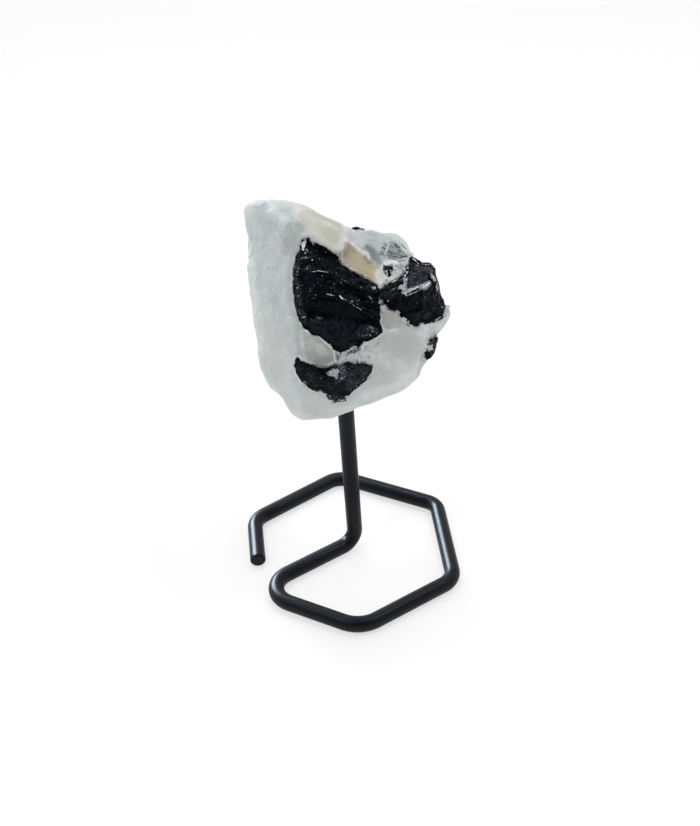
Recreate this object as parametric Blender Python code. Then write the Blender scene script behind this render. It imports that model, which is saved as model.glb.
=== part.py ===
"""Tourmalinated quartz on a stand bent from one black steel rod.

The rod lies on the table as an open hexagon, turns in to the middle and rises as a post.
A rough lump of milky quartz is drilled and sits on the post, with black tourmaline crystals
held in pockets on its front, its edge and its back.

The row frame is +Z up, with the origin on the table under the middle of the hexagon.
The stone's own points are in millimetres on its own axes: x to the right, y up its face and
z out of the face towards the front. The empty "stone_pose" leans those axes back.
"""

import math

import bmesh
import bpy
from mathutils import Matrix, Vector, noise
from mathutils.geometry import delaunay_2d_cdt

MM = 0.001

# The stand, in millimetres
ROD_DIAMETER = 4.0
ROD_SIDES = 12
ROD_END_CHAMFER = 0.5
ARC_STEP = math.radians(15)
STUB_END = (-24.5, -3.5)
HEXAGON = ((-25.0, 12.7), (-0.7, 29.2), (24.9, 14.6), (24.7, -14.9), (-0.5, -29.4), (-25.8, -14.3))
HEXAGON_BENDS = (6.0, 6.0, 4.5, 6.0, 8.0, 6.0)
POST_FOOT = (1.3, 2.2)
POST_BEND = 4.0
POST_TOP = (-2.1, 2.5, 60.0)

# The stone's place
STONE_CENTRE = (-0.9, 2.4, 71.2)
STONE_LEAN = 60.0
STONE_TURN = -5.2

# Shared by the stone and its crystals, in millimetres
GAP = 0.3
ABOVE_THE_STONE = 25.0

# The quartz seen from the front: its rim, clockwise from the upper left
RIM = (
    (-22.9, 23.8, -2.0), (-21.9, 25.3, -2.0), (-17.8, 25.4, -1.5), (-13.9, 25.1, -1.0),
    (-11.2, 24.3, 0.0), (-6.0, 21.9, 0.0), (-0.8, 19.5, -1.0), (1.1, 19.6, -8.0),
    (7.4, 18.8, -9.5), (11.9, 18.2, -9.5), (13.7, 16.6, -8.5), (14.8, 14.1, -7.0),
    (17.0, 10.8, -5.5), (19.3, 10.5, -5.0), (20.0, 8.7, -4.5), (20.9, 5.0, -3.5),
    (21.8, 2.4, -1.5), (23.4, 1.3, 0.5), (23.6, -0.6, 0.5), (22.7, -3.3, 0.0),
    (20.7, -5.3, -1.0), (20.6, -7.7, -2.0), (19.2, -9.8, -2.0), (17.4, -13.0, -2.5),
    (17.0, -14.8, -2.5), (14.9, -17.2, -3.0), (11.9, -19.0, -3.0), (7.7, -20.4, -3.0),
    (2.6, -22.2, -3.0), (-2.0, -24.1, -3.0), (-5.5, -24.4, -2.5), (-10.6, -25.2, -2.5),
    (-13.0, -23.6, -3.0), (-15.3, -19.5, -3.0), (-17.8, -17.7, -3.0), (-19.2, -14.6, -3.0),
    (-20.5, -7.6, -3.0), (-21.6, 2.0, -3.5), (-22.7, 10.1, -3.5), (-22.5, 12.4, -4.0),
    (-22.4, 16.9, -3.5), (-23.2, 22.5, -3.0),
)  # fmt: skip
RIM_ROUNDING = 0.8
RIM_HALF_THICKNESS = 1.0

# Ridges, ledges and hollows of the quartz's front, as lines of points
LEFT_FACE = ((-19.3, 21.0, 0.6), (-18.8, 16.1, 1.0), (-18.3, 10.0, 2.0), (-17.9, 2.6, 2.5),
             (-16.9, -8.6, 3.0), (-15.0, -16.6, 1.5))  # fmt: skip
LEFT_RIDGE = ((-16.6, 23.2, 2.0), (-13.6, 19.9, 6.0), (-12.2, 16.1, 8.0), (-12.1, 10.8, 9.5),
              (-12.8, 4.7, 10.5), (-12.1, -1.4, 11.5), (-10.4, -6.3, 12.0), (-12.2, -10.5, 11.0),
              (-12.3, -15.0, 8.5), (-10.5, -20.0, 4.5))  # fmt: skip
HOOD_TOP = ((-10.3, 22.0, 4.5), (-5.4, 19.4, 5.5), (-2.0, 17.6, 5.0))
HOOD_LIP = ((-9.7, 16.7, 8.5), (-7.1, 17.2, 9.0), (-5.5, 15.6, 9.5), (-2.7, 13.0, 10.0),
            (-1.0, 13.3, 9.5), (-0.1, 15.7, 6.5), (-0.4, 17.6, 3.0))  # fmt: skip
LEDGE_BACK = ((-1.2, 10.9, 7.0), (-0.4, 12.8, 5.0), (0.6, 15.2, 2.5), (3.0, 13.3, 1.0),
              (5.6, 11.2, 0.0), (7.8, 10.1, 0.5))  # fmt: skip
LEDGE_FRONT = ((0.8, 9.1, 8.5), (3.0, 8.0, 8.5), (5.2, 6.9, 8.5), (7.2, 6.1, 8.5))
GULLY = ((0.8, 16.7, -1.5), (3.5, 14.3, -2.5), (6.3, 12.3, -3.5), (8.8, 11.4, -3.0),
         (12.1, 11.6, -3.5), (13.6, 12.6, -4.5))  # fmt: skip
BACK_LOBE = ((5.4, 16.6, -6.0), (10.6, 15.7, -6.5), (12.6, 14.4, -5.8))
CRUMBS = ((8.9, 10.5, 1.5), (10.4, 11.1, 2.5), (12.7, 10.7, 2.0), (13.4, 9.3, 2.0),
          (11.4, 7.6, 5.5), (9.2, 6.8, 7.0))  # fmt: skip
DIMPLE_RIM = ((8.0, 0.6, 9.5), (10.2, -0.2, 10.0), (12.8, -1.7, 10.0), (13.9, -3.4, 9.5),
              (10.8, -3.8, 10.6), (8.1, -4.4, 11.5), (7.4, -2.3, 11.0))  # fmt: skip
DIMPLE_FLOOR = ((8.9, -1.6, 7.8), (10.9, -2.3, 8.2))
SHELF = ((14.2, -3.6, 9.8), (17.3, -3.2, 7.5), (20.4, -2.8, 4.5), (22.0, -1.8, 2.5))
SADDLE = ((-9.0, -5.0, 12.0), (-6.2, -7.2, 12.5), (-3.0, -8.9, 12.5), (0.7, -9.8, 12.5),
          (4.2, -9.0, 12.5), (6.6, -10.6, 11.8))  # fmt: skip
LOWER_FACE = ((8.4, -8.4, 11.2), (12.9, -8.4, 8.5), (16.9, -7.5, 5.0))
LOWER_SLOPE = ((-7.1, -19.4, 6.0), (-3.8, -21.9, 3.2), (0.1, -20.9, 4.2), (3.4, -17.6, 7.0),
               (7.9, -16.2, 6.5), (12.3, -13.9, 6.0), (15.2, -12.0, 3.6))  # fmt: skip
FRONT_LINES = (LEFT_FACE, LEFT_RIDGE, HOOD_TOP, HOOD_LIP, LEDGE_BACK, LEDGE_FRONT, GULLY, BACK_LOBE,
               CRUMBS, DIMPLE_RIM, DIMPLE_FLOOR, SHELF, SADDLE, LOWER_FACE, LOWER_SLOPE)  # fmt: skip

# The quartz's back: a long spine, broken faces to its sides and a blunt foot round the post
BACK_SPINE = ((-16.5, 18.5, -8.5), (-9.0, 13.5, -12.5), (-3.5, 4.0, -15.0), (-4.0, -7.0, -15.5),
              (-0.5, -14.5, -14.0))  # fmt: skip
BACK_STEP_TOP = ((-14.2, 2.6, -11.4), (-9.6, 0.6, -13.6), (-7.2, -3.6, -14.4), (-7.4, -9.0, -14.0))
BACK_STEP_FOOT = ((-14.8, 1.4, -9.8), (-10.8, -0.8, -11.6), (-8.6, -4.6, -12.6), (-8.6, -9.6, -12.2))
BACK_NICK = ((-1.0, 12.5, -13.6), (-0.2, 6.0, -13.9), (-0.6, -1.0, -14.4))
BACK_LEFT = ((-19.0, 9.0, -8.0), (-17.8, -3.0, -8.5), (-14.8, -13.5, -8.5), (-10.0, -19.5, -8.5))
BACK_RIGHT = ((4.5, 15.8, -14.5), (11.0, 12.5, -13.5), (15.5, 5.5, -11.0), (12.0, -2.0, -14.0),
              (9.0, -9.5, -14.0))  # fmt: skip
BACK_EDGE = ((18.0, -1.0, -7.5), (15.0, -9.5, -8.5), (10.5, -15.0, -9.0))
FOOT = ((-6.0, -20.5, -10.5), (0.0, -21.0, -10.5), (5.5, -18.0, -10.5))
BACK_LINES = (BACK_SPINE, BACK_STEP_TOP, BACK_STEP_FOOT, BACK_NICK, BACK_LEFT, BACK_RIGHT, BACK_EDGE, FOOT)

QUARTZ_LONGEST_EDGE = 2.8
QUARTZ_SOFTENING = 0.35
QUARTZ_ROUGHNESS = 0.35
QUARTZ_LUMP_SIZE = 5.0

# The main crystal: outline clockwise from its upper tip, then the lines of its broken front
MAIN_OUTLINE = (
    (-9.1, 16.2, 6.5), (-8.1, 16.4, 6.5), (-7.1, 15.1, 7.0), (-4.9, 14.2, 7.5), (-3.4, 13.1, 7.5),
    (-2.1, 12.0, 7.5), (-1.3, 10.2, 8.0), (0.8, 8.9, 8.5), (3.0, 7.8, 8.8), (5.1, 6.7, 9.0),
    (6.5, 5.8, 9.3), (6.7, 4.1, 9.8), (7.0, 2.1, 10.0), (7.2, -0.1, 10.5), (7.1, -2.3, 11.0),
    (7.7, -4.0, 11.3), (7.2, -5.1, 11.3), (4.9, -6.1, 11.5), (3.1, -7.0, 11.5), (2.3, -8.1, 11.5),
    (0.5, -8.3, 11.7), (-1.2, -8.6, 11.7), (-3.0, -7.9, 11.5), (-4.3, -6.6, 11.3), (-5.8, -5.4, 11.0),
    (-7.8, -4.6, 10.8), (-9.3, -3.4, 10.5), (-10.2, -1.8, 10.5), (-10.9, 0.6, 10.3), (-11.3, 2.8, 10.0),
    (-11.7, 4.9, 9.8), (-11.6, 7.8, 9.5), (-11.3, 10.6, 9.0), (-10.7, 12.6, 8.5), (-10.0, 14.1, 8.0),
    (-9.8, 15.5, 7.0),
)  # fmt: skip
MAIN_LINES = (
    ((-8.9, 15.0, 8.2), (-8.2, 12.1, 10.0), (-7.5, 10.3, 10.8)),
    ((-10.1, 8.4, 10.2), (-7.3, 8.7, 11.3), (-4.0, 8.5, 11.4), (-1.6, 7.3, 11.0)),
    ((-6.2, 6.2, 11.3), (-2.5, 5.5, 12.0), (1.2, 5.3, 11.2), (4.2, 4.2, 11.0)),
    ((-10.7, 3.2, 10.6), (-7.5, 2.5, 11.8), (-3.8, 3.6, 12.8), (-0.8, 2.7, 13.3), (2.0, 1.2, 13.3),
     (4.9, 0.1, 12.6), (6.5, -0.5, 11.5)),
    ((-9.9, 0.2, 10.7), (-6.2, -0.7, 11.0), (-1.4, -1.4, 11.6), (3.3, -1.6, 11.9), (6.0, -1.8, 11.4)),
    ((-9.1, -2.2, 11.2), (-5.3, -2.9, 12.0), (-0.3, -3.5, 12.6), (2.9, -3.1, 12.8), (6.2, -3.5, 12.0)),
    ((-3.6, -6.1, 12.2), (0.1, -6.8, 12.4), (2.0, -5.7, 12.5), (4.6, -4.8, 12.3)),
)  # fmt: skip
MAIN_FLOOR = 2.0

# The right crystal, clockwise from its left tip
RIGHT_OUTLINE = (
    (7.6, 3.4, 9.5), (8.2, 5.2, 9.0), (9.5, 6.1, 8.5), (11.4, 7.2, 7.0), (13.2, 8.8, 5.0),
    (14.0, 10.9, 3.0), (14.8, 12.5, 1.5), (15.6, 11.8, 2.0), (16.7, 10.9, 2.5), (18.2, 11.1, 1.5),
    (19.3, 10.8, 1.0), (20.0, 9.6, 1.0), (20.2, 8.0, 1.5), (20.7, 6.4, 2.5), (21.2, 4.2, 2.5),
    (22.0, 2.1, 2.5), (22.6, 1.0, 2.0), (22.4, -0.1, 2.5), (21.6, -1.4, 3.5), (20.0, -2.1, 4.5),
    (17.9, -2.6, 6.5), (15.1, -3.1, 8.5), (13.5, -2.5, 9.0), (11.7, -1.2, 9.5), (9.7, 0.1, 9.5),
    (8.3, 1.1, 9.5), (7.7, 2.2, 9.5),
)  # fmt: skip
RIGHT_LINES = (
    ((8.4, 3.3, 10.5), (10.1, 3.2, 11.2), (12.9, 3.8, 10.8), (16.1, 5.4, 8.5), (19.0, 6.8, 5.5)),
    ((10.6, 5.8, 9.2), (12.4, 6.9, 8.2)),
    ((14.3, 9.2, 5.5), (16.6, 9.6, 5.3), (18.9, 9.3, 3.5)),
    ((10.6, 1.4, 10.8), (14.3, 0.8, 10.4), (17.7, 1.2, 8.0), (20.6, 1.7, 5.0)),
)  # fmt: skip
RIGHT_FLOOR = -3.0

# The lower crystal, clockwise from its left tip
LOWER_OUTLINE = (
    (-10.9, -10.2, 11.0), (-9.5, -11.2, 11.3), (-8.0, -11.5, 11.5), (-6.3, -12.2, 11.5),
    (-4.5, -12.4, 11.5), (-2.8, -11.9, 11.8), (-1.0, -11.7, 12.0), (0.5, -11.3, 12.0),
    (2.7, -11.3, 12.0), (3.6, -11.7, 11.8), (5.6, -11.8, 11.3), (5.1, -13.3, 10.6),
    (4.4, -14.8, 9.6), (2.5, -16.4, 8.6), (0.7, -18.0, 7.4), (-0.6, -18.8, 6.8), (-0.1, -19.9, 5.8),
    (-1.5, -19.9, 5.8), (-3.3, -20.4, 5.2), (-4.2, -19.0, 6.5), (-5.5, -17.4, 8.0),
    (-6.8, -17.5, 7.8), (-8.2, -16.6, 8.3), (-9.7, -15.5, 8.6), (-10.7, -13.9, 9.4),
    (-11.4, -11.9, 10.3),
)  # fmt: skip
LOWER_LINES = (
    ((-9.5, -12.5, 11.6), (-7.6, -13.5, 11.8), (-5.9, -15.1, 10.6)),
    ((-4.7, -13.5, 12.0), (-2.5, -13.1, 12.8), (-0.4, -12.6, 12.9), (-0.4, -14.6, 11.8), (-3.0, -14.9, 11.2)),
    ((1.6, -12.6, 12.6), (2.9, -14.0, 11.6), (1.4, -15.9, 10.0)),
    ((-4.1, -16.3, 9.6), (-2.1, -17.0, 9.0)),
)  # fmt: skip
LOWER_FLOOR = 1.5

# The small chip among the crumbs, clockwise from its left corner
CHIP_OUTLINE = (
    (8.3, 10.3, 3.6), (9.3, 9.9, 3.8), (10.1, 10.1, 3.6), (10.2, 8.8, 4.6), (9.4, 7.9, 5.6),
    (8.6, 8.2, 5.4), (8.5, 9.3, 4.6),
)  # fmt: skip
CHIP_LINES = (((9.2, 9.0, 5.2), (9.3, 8.5, 5.8)),)
CHIP_FLOOR = -0.5

CRYSTAL_LONGEST_EDGE = 1.7
BROKEN_LONGEST_EDGE = 2.8
CRYSTAL_CHIP_DEPTH = 0.3
CRYSTAL_CHIP_SIZE = 1.6

# The crystal behind the top edge: a ribbed prism that lies down the stone's back
TOP_START = (5.3, 19.3, -12.4)
TOP_END = (7.2, -6.0, -13.6)
TOP_HALF_WIDTH = 4.3
TOP_HALF_DEPTH = 2.6
TOP_END_SLOPE = -0.15
TOP_RIBS = 9
TOP_RIB_DEPTH = 0.045
TOP_SECTIONS = ((0.0, 0.96), (0.12, 1.0), (0.3, 0.97), (0.5, 1.0), (0.72, 0.93), (0.9, 0.78), (1.0, 0.5))

# The crystal through the lower right edge, as the corners of one broken lump
SIDE_CORNERS = (
    (18.1, -7.5, 3.4), (19.3, -6.4, 3.0), (20.9, -5.9, 0.3), (18.3, -11.0, 1.4), (19.3, -10.3, 0.4),
    (21.3, -7.4, -1.2), (20.8, -9.0, -1.2), (21.0, -6.4, -3.0), (17.0, -6.2, -7.6),
    (19.8, -6.8, -6.6), (16.6, -10.2, -7.4), (18.9, -10.6, -5.2),
)  # fmt: skip
LUMP_CORNER_GAP = 1.4 * GAP

MATERIALS = {
    "black_powder_coat": ((0.012, 0.013, 0.015), 0.42, 0.0),
    "milky_quartz": ((0.68, 0.71, 0.70), 0.4, 0.0),
    "black_tourmaline": ((0.008, 0.008, 0.011), 0.16, 0.0),
}


def clear_scene():
    for obj in list(bpy.data.objects):
        bpy.data.objects.remove(obj)


def make_materials():
    made = {}
    for name, (colour, roughness, metallic) in MATERIALS.items():
        material = bpy.data.materials.new(name)
        material.use_nodes = True
        shader = material.node_tree.nodes["Principled BSDF"]
        shader.inputs["Base Color"].default_value = (*colour, 1)
        shader.inputs["Roughness"].default_value = roughness
        shader.inputs["Metallic"].default_value = metallic
        made[name] = material
    return made


def make_object(name, bm, material=None, parent=None):
    """Turns a closed bmesh in millimetres into an object in metres."""
    bmesh.ops.scale(bm, vec=(MM, MM, MM), verts=bm.verts[:])
    bmesh.ops.recalc_face_normals(bm, faces=bm.faces[:])
    mesh = bpy.data.meshes.new(name)
    bm.to_mesh(mesh)
    bm.free()
    obj = bpy.data.objects.new(name, mesh)
    bpy.context.scene.collection.objects.link(obj)
    obj.parent = parent
    if material:
        mesh.materials.append(material)
    return obj


def make_cutter(name, bm, parent=None):
    cutter = make_object(name, bm, parent=parent)
    cutter.hide_render = True
    cutter.display_type = "WIRE"
    return cutter


def cut(obj, cutter):
    modifier = obj.modifiers.new(cutter.name, "BOOLEAN")
    modifier.operation = "DIFFERENCE"
    modifier.solver = "EXACT"
    modifier.object = cutter


def bent_path(corners, bends):
    """The rod's centreline: straight runs joined by arcs, with one bend radius for each inner corner."""
    path = [corners[0]]
    for before, corner, after, radius in zip(corners, corners[1:], corners[2:], bends):
        back = (before - corner).normalized()
        ahead = (after - corner).normalized()
        half_angle = back.angle(ahead) / 2
        centre = corner + (back + ahead).normalized() * radius / math.sin(half_angle)
        reach = radius / math.tan(half_angle)
        first = corner + back * reach - centre
        last = corner + ahead * reach - centre
        turn = first.angle(last)
        steps = max(2, math.ceil(turn / ARC_STEP))
        for step in range(steps + 1):
            path.append(centre + Matrix.Rotation(turn * step / steps, 3, first.cross(last)) @ first)
    path.append(corners[-1])
    return path


def path_frames(path):
    """A point, side and up direction for each point of the path, turned no more than the path turns."""
    frames = []
    up = Vector((0, 0, 1))
    runs = [(b - a).normalized() for a, b in zip(path, path[1:])]
    heading = runs[0]
    for index, point in enumerate(path):
        turned = (runs[max(index - 1, 0)] + runs[min(index, len(runs) - 1)]).normalized()
        up = heading.rotation_difference(turned) @ up
        heading = turned
        frames.append((point, heading.cross(up).normalized(), up.normalized()))
    return frames


def loft(bm, rings, close_ends=True):
    """Joins rings of points with the same count into one tube."""
    made = [[bm.verts.new(point) for point in ring] for ring in rings]
    for ring, following in zip(made, made[1:]):
        count = len(ring)
        for i in range(count):
            j = (i + 1) % count
            bm.faces.new((ring[i], ring[j], following[j], following[i]))
    if close_ends:
        bm.faces.new(made[0])
        bm.faces.new(made[-1][::-1])
    return made


def rod_ring(point, side, up, radius):
    """One section of the rod, with a flat turned down so that it rests on the table."""
    corner_radius = radius / math.cos(math.pi / ROD_SIDES)
    ring = []
    for i in range(ROD_SIDES):
        angle = (i + 0.5) * 2 * math.pi / ROD_SIDES
        ring.append(point + (side * math.cos(angle) + up * math.sin(angle)) * corner_radius)
    return ring


def make_wire_stand(materials):
    radius = ROD_DIAMETER / 2
    flat_corners = [STUB_END, *HEXAGON, POST_FOOT]
    corners = [Vector((x, y, radius)) for x, y in flat_corners] + [Vector(POST_TOP)]
    path = bent_path(corners, [*HEXAGON_BENDS, POST_BEND])
    frames = path_frames(path)
    rings = [rod_ring(*frame, radius) for frame in frames]
    first_run = (path[1] - path[0]).normalized()
    last_run = (path[-1] - path[-2]).normalized()
    stub_shoulder = (path[0] + first_run * ROD_END_CHAMFER, *frames[0][1:])
    post_shoulder = (path[-1] - last_run * ROD_END_CHAMFER, *frames[-1][1:])
    small = radius - ROD_END_CHAMFER
    rings[:1] = [rod_ring(*frames[0], small), rod_ring(*stub_shoulder, radius)]
    rings[-1:] = [rod_ring(*post_shoulder, radius), rod_ring(*frames[-1], small)]
    bm = bmesh.new()
    loft(bm, rings)
    stand = make_object("wire_stand", bm, materials["black_powder_coat"])
    stand.data.shade_smooth()
    stand.data.set_sharp_from_angle(angle=math.radians(40))
    return stand


def make_post_hole():
    """A round drill that leaves the gap all round the post and over its top."""
    foot = Vector((*POST_FOOT, ROD_DIAMETER / 2))
    top = Vector(POST_TOP)
    along = (top - foot).normalized()
    start = foot.lerp(top, 0.5)
    end = top + along * GAP
    bm = bmesh.new()
    side = along.orthogonal().normalized()
    rings = [rod_ring(point, side, along.cross(side), ROD_DIAMETER / 2 + GAP) for point in (start, end)]
    loft(bm, rings)
    return make_cutter("post_hole", bm)


def make_stone_pose():
    pose = bpy.data.objects.new("stone_pose", None)
    bpy.context.scene.collection.objects.link(pose)
    pose.location = Vector(STONE_CENTRE) * MM
    pose.rotation_euler = (math.radians(STONE_LEAN), 0, math.radians(STONE_TURN))
    return pose


def moved_outline(outline, outward, lift=0.0):
    """The clockwise outline moved outward across its plane by that distance, and lifted along z."""
    moved = []
    count = len(outline)
    for i, point in enumerate(outline):
        before = (Vector(point) - Vector(outline[i - 1])).to_2d().normalized()
        after = (Vector(outline[(i + 1) % count]) - Vector(point)).to_2d().normalized()
        along = (before + after).normalized()
        stretch = 1 / max(along.dot(after), 0.6)
        shift = Vector((-along.y, along.x)) * outward * stretch
        moved.append(Vector((point[0] + shift.x, point[1] + shift.y, point[2] + lift)))
    return moved


def relief(outline, lines=()):
    """Triangles that fill the clockwise outline and keep the lines as edges: the points and the triangles."""
    points = [Vector(point) for point in outline]
    edges = []
    for line in lines:
        first = len(points)
        points += [Vector(point) for point in line]
        edges += [(i, i + 1) for i in range(first, len(points) - 1)]
    face = list(reversed(range(len(outline))))
    flat = [point.to_2d() for point in points]
    _, _, triangles, sources, _, _ = delaunay_2d_cdt(flat, edges, [face], 1, 1e-6)
    if any(len(source) != 1 for source in sources):
        crossed = [i for i, source in enumerate(sources) if len(source) != 1]
        raise ValueError(f"two lines of the relief meet or cross, near {crossed}")
    return points, [[sources[i][0] for i in triangle] for triangle in triangles]


def add_relief(bm, outline, lines=()):
    """Adds a relief to the mesh and returns the vertices of its outline."""
    points, triangles = relief(outline, lines)
    verts = [bm.verts.new(point) for point in points]
    for triangle in triangles:
        bm.faces.new([verts[i] for i in triangle])
    return verts[: len(outline)]


def join_outlines(bm, upper, lower):
    count = len(upper)
    for i in range(count):
        j = (i + 1) % count
        bm.faces.new((upper[i], upper[j], lower[j], lower[i]))


def refine(bm, longest_edge):
    """Splits edges until none is longer than that."""
    for _ in range(6):
        long_edges = [edge for edge in bm.edges if edge.calc_length() > longest_edge]
        if not long_edges:
            return
        bmesh.ops.subdivide_edges(bm, edges=long_edges, cuts=1)
        bmesh.ops.triangulate(bm, faces=bm.faces[:])


def weather(bm, depth, lump_size):
    """Moves the surface in and out by layered noise, as on broken stone."""
    bm.normal_update()
    shifts = []
    for vert in bm.verts:
        lumps = noise.fractal(vert.co / lump_size, 0.8, 2.1, 4)
        shifts.append(vert.normal * depth * lumps)
    for vert, shift in zip(bm.verts, shifts):
        vert.co += shift


def make_quartz(materials, pose):
    bm = bmesh.new()
    front = add_relief(bm, moved_outline(RIM, -RIM_ROUNDING, RIM_HALF_THICKNESS), FRONT_LINES)
    back = add_relief(bm, moved_outline(RIM, -RIM_ROUNDING, -RIM_HALF_THICKNESS), BACK_LINES)
    rim = [bm.verts.new(point) for point in RIM]
    join_outlines(bm, front, rim)
    join_outlines(bm, rim, back)
    bmesh.ops.recalc_face_normals(bm, faces=bm.faces[:])
    bmesh.ops.triangulate(bm, faces=bm.faces[:])
    refine(bm, QUARTZ_LONGEST_EDGE)
    bmesh.ops.smooth_vert(
        bm, verts=bm.verts[:], factor=QUARTZ_SOFTENING, use_axis_x=True, use_axis_y=True, use_axis_z=True
    )
    weather(bm, QUARTZ_ROUGHNESS, QUARTZ_LUMP_SIZE)
    return make_object("quartz", bm, materials["milky_quartz"], pose)


def chip(bm):
    """Breaks small flat chips out of the surface, inward only, and leaves an open edge as it is."""
    bm.normal_update()
    chipped = [vert for vert in bm.verts if not vert.is_boundary]
    depths = [(1 + noise.cell(vert.co / CRYSTAL_CHIP_SIZE)) / 2 for vert in chipped]
    shifts = [vert.normal * CRYSTAL_CHIP_DEPTH * depth for vert, depth in zip(chipped, depths)]
    for vert, shift in zip(chipped, shifts):
        vert.co -= shift


def make_relief_crystal(name, outline, lines, floor, materials, pose):
    """A crystal that fills its outline from a flat floor inside the quartz up to its broken front."""
    bm = bmesh.new()
    add_relief(bm, outline, lines)
    refine(bm, CRYSTAL_LONGEST_EDGE)
    chip(bm)
    border = [edge for edge in bm.edges if edge.is_boundary]
    wall = bmesh.ops.extrude_edge_only(bm, edges=border)["geom"]
    for vert in wall:
        if isinstance(vert, bmesh.types.BMVert):
            vert.co.z = floor
    base = [edge for edge in bm.edges if edge.is_boundary]
    bmesh.ops.edgeloop_fill(bm, edges=base)
    bmesh.ops.triangulate(bm, faces=bm.faces[:])
    return make_object(name, bm, materials["black_tourmaline"], pose)


def make_relief_pocket(name, outline, floor, pose):
    """The space for a relief crystal, with the gap round it and under it, open to the front."""
    wide = [Vector((p.x, p.y, ABOVE_THE_STONE)) for p in moved_outline(outline, GAP)]
    bm = bmesh.new()
    upper = [bm.verts.new(point) for point in wide]
    lower = [bm.verts.new((point.x, point.y, floor - GAP)) for point in wide]
    bm.faces.new(upper)
    bm.faces.new(lower)
    join_outlines(bm, upper, lower)
    return make_cutter(name, bm, pose)


def prism_rings(margin):
    """Sections of the ribbed prism behind the top edge, grown by the margin."""
    start = Vector(TOP_START)
    end = Vector(TOP_END)
    along = (end - start).normalized()
    rings = []
    sides = 2 * TOP_RIBS
    for share, size in TOP_SECTIONS:
        reach = share + (share == 1) * margin / (end - start).length
        centre = start.lerp(end, reach)
        if share == 0:
            centre = centre - along * margin
        ring = []
        for i in range(sides):
            angle = 2 * math.pi * i / sides
            rib = 1 + TOP_RIB_DEPTH * (-1) ** i
            x = math.cos(angle) * (TOP_HALF_WIDTH * size * rib + margin)
            z = math.sin(angle) * (TOP_HALF_DEPTH * size * rib + margin)
            slope = TOP_END_SLOPE * x * (1 - share)
            ring.append(centre + Vector((x, slope, z)))
        rings.append(ring)
    return rings


def lump(corners, margin=0.0):
    """The closed hull of the corners, each moved away from their middle by the margin."""
    points = [Vector(corner) for corner in corners]
    middle = sum(points, Vector()) / len(points)
    bm = bmesh.new()
    for point in points:
        bm.verts.new(point + (point - middle).normalized() * margin)
    bmesh.ops.convex_hull(bm, input=bm.verts[:])
    return bm


def make_broken_crystal(name, bm, materials, pose):
    """A crystal from a whole closed form, with chips all over it."""
    bmesh.ops.recalc_face_normals(bm, faces=bm.faces[:])
    bmesh.ops.triangulate(bm, faces=bm.faces[:])
    refine(bm, BROKEN_LONGEST_EDGE)
    chip(bm)
    return make_object(name, bm, materials["black_tourmaline"], pose)


def prism(margin=0.0):
    bm = bmesh.new()
    loft(bm, prism_rings(margin))
    return bm


def main():
    clear_scene()
    materials = make_materials()
    make_wire_stand(materials)
    pose = make_stone_pose()
    quartz = make_quartz(materials, pose)
    relief_crystals = (
        ("main", MAIN_OUTLINE, MAIN_LINES, MAIN_FLOOR),
        ("right", RIGHT_OUTLINE, RIGHT_LINES, RIGHT_FLOOR),
        ("lower", LOWER_OUTLINE, LOWER_LINES, LOWER_FLOOR),
        ("chip", CHIP_OUTLINE, CHIP_LINES, CHIP_FLOOR),
    )
    for name, outline, lines, floor in relief_crystals:
        make_relief_crystal(f"tourmaline_{name}", outline, lines, floor, materials, pose)
        cut(quartz, make_relief_pocket(f"{name}_pocket", outline, floor, pose))
    make_broken_crystal("tourmaline_top", prism(), materials, pose)
    cut(quartz, make_cutter("top_pocket", prism(GAP), pose))
    make_broken_crystal("tourmaline_side", lump(SIDE_CORNERS), materials, pose)
    cut(quartz, make_cutter("side_pocket", lump(SIDE_CORNERS, LUMP_CORNER_GAP), pose))
    cut(quartz, make_post_hole())


main()
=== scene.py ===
"""Tourmalinated quartz on a stand bent from one black steel rod, modelled and finished in detail.

The file is laid out as an add-on and run as a script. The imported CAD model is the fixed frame:
each piece here stands for one of its nodes, and sits where that node sits.

The stone's own points are in millimetres on its own axes: x to the right, y up its face and
z out of the face towards the front. STONE_POSE leans those axes back into the frame.
"""

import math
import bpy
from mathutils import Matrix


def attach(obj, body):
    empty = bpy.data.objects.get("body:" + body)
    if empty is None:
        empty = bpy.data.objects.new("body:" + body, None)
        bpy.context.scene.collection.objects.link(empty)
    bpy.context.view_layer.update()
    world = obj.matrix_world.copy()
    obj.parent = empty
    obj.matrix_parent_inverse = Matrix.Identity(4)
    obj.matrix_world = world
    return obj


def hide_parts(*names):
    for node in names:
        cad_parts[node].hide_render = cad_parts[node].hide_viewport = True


bl_info = {
    "name": "Tourmalinated Quartz on a Stand",
    "version": (1, 0, 0),
    "blender": (4, 5, 0),
    "location": "3D View > Sidebar > Quartz",
    "description": "Models and finishes a rough quartz with black tourmaline on its bent rod stand",
    "category": "Object",
}

import bmesh
import bpy
import numpy as np
from bpy.props import FloatProperty, FloatVectorProperty, IntProperty, PointerProperty
from mathutils import Euler, Matrix, Vector, noise
from mathutils.bvhtree import BVHTree

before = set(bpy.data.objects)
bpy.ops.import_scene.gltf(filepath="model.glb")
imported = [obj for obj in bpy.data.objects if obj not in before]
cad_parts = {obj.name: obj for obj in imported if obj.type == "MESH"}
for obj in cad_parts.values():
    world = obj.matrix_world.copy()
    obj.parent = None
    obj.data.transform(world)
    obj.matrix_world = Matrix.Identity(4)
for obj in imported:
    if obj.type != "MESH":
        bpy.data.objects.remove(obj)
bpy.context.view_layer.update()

MM = 0.001
BODY = "root"

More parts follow.
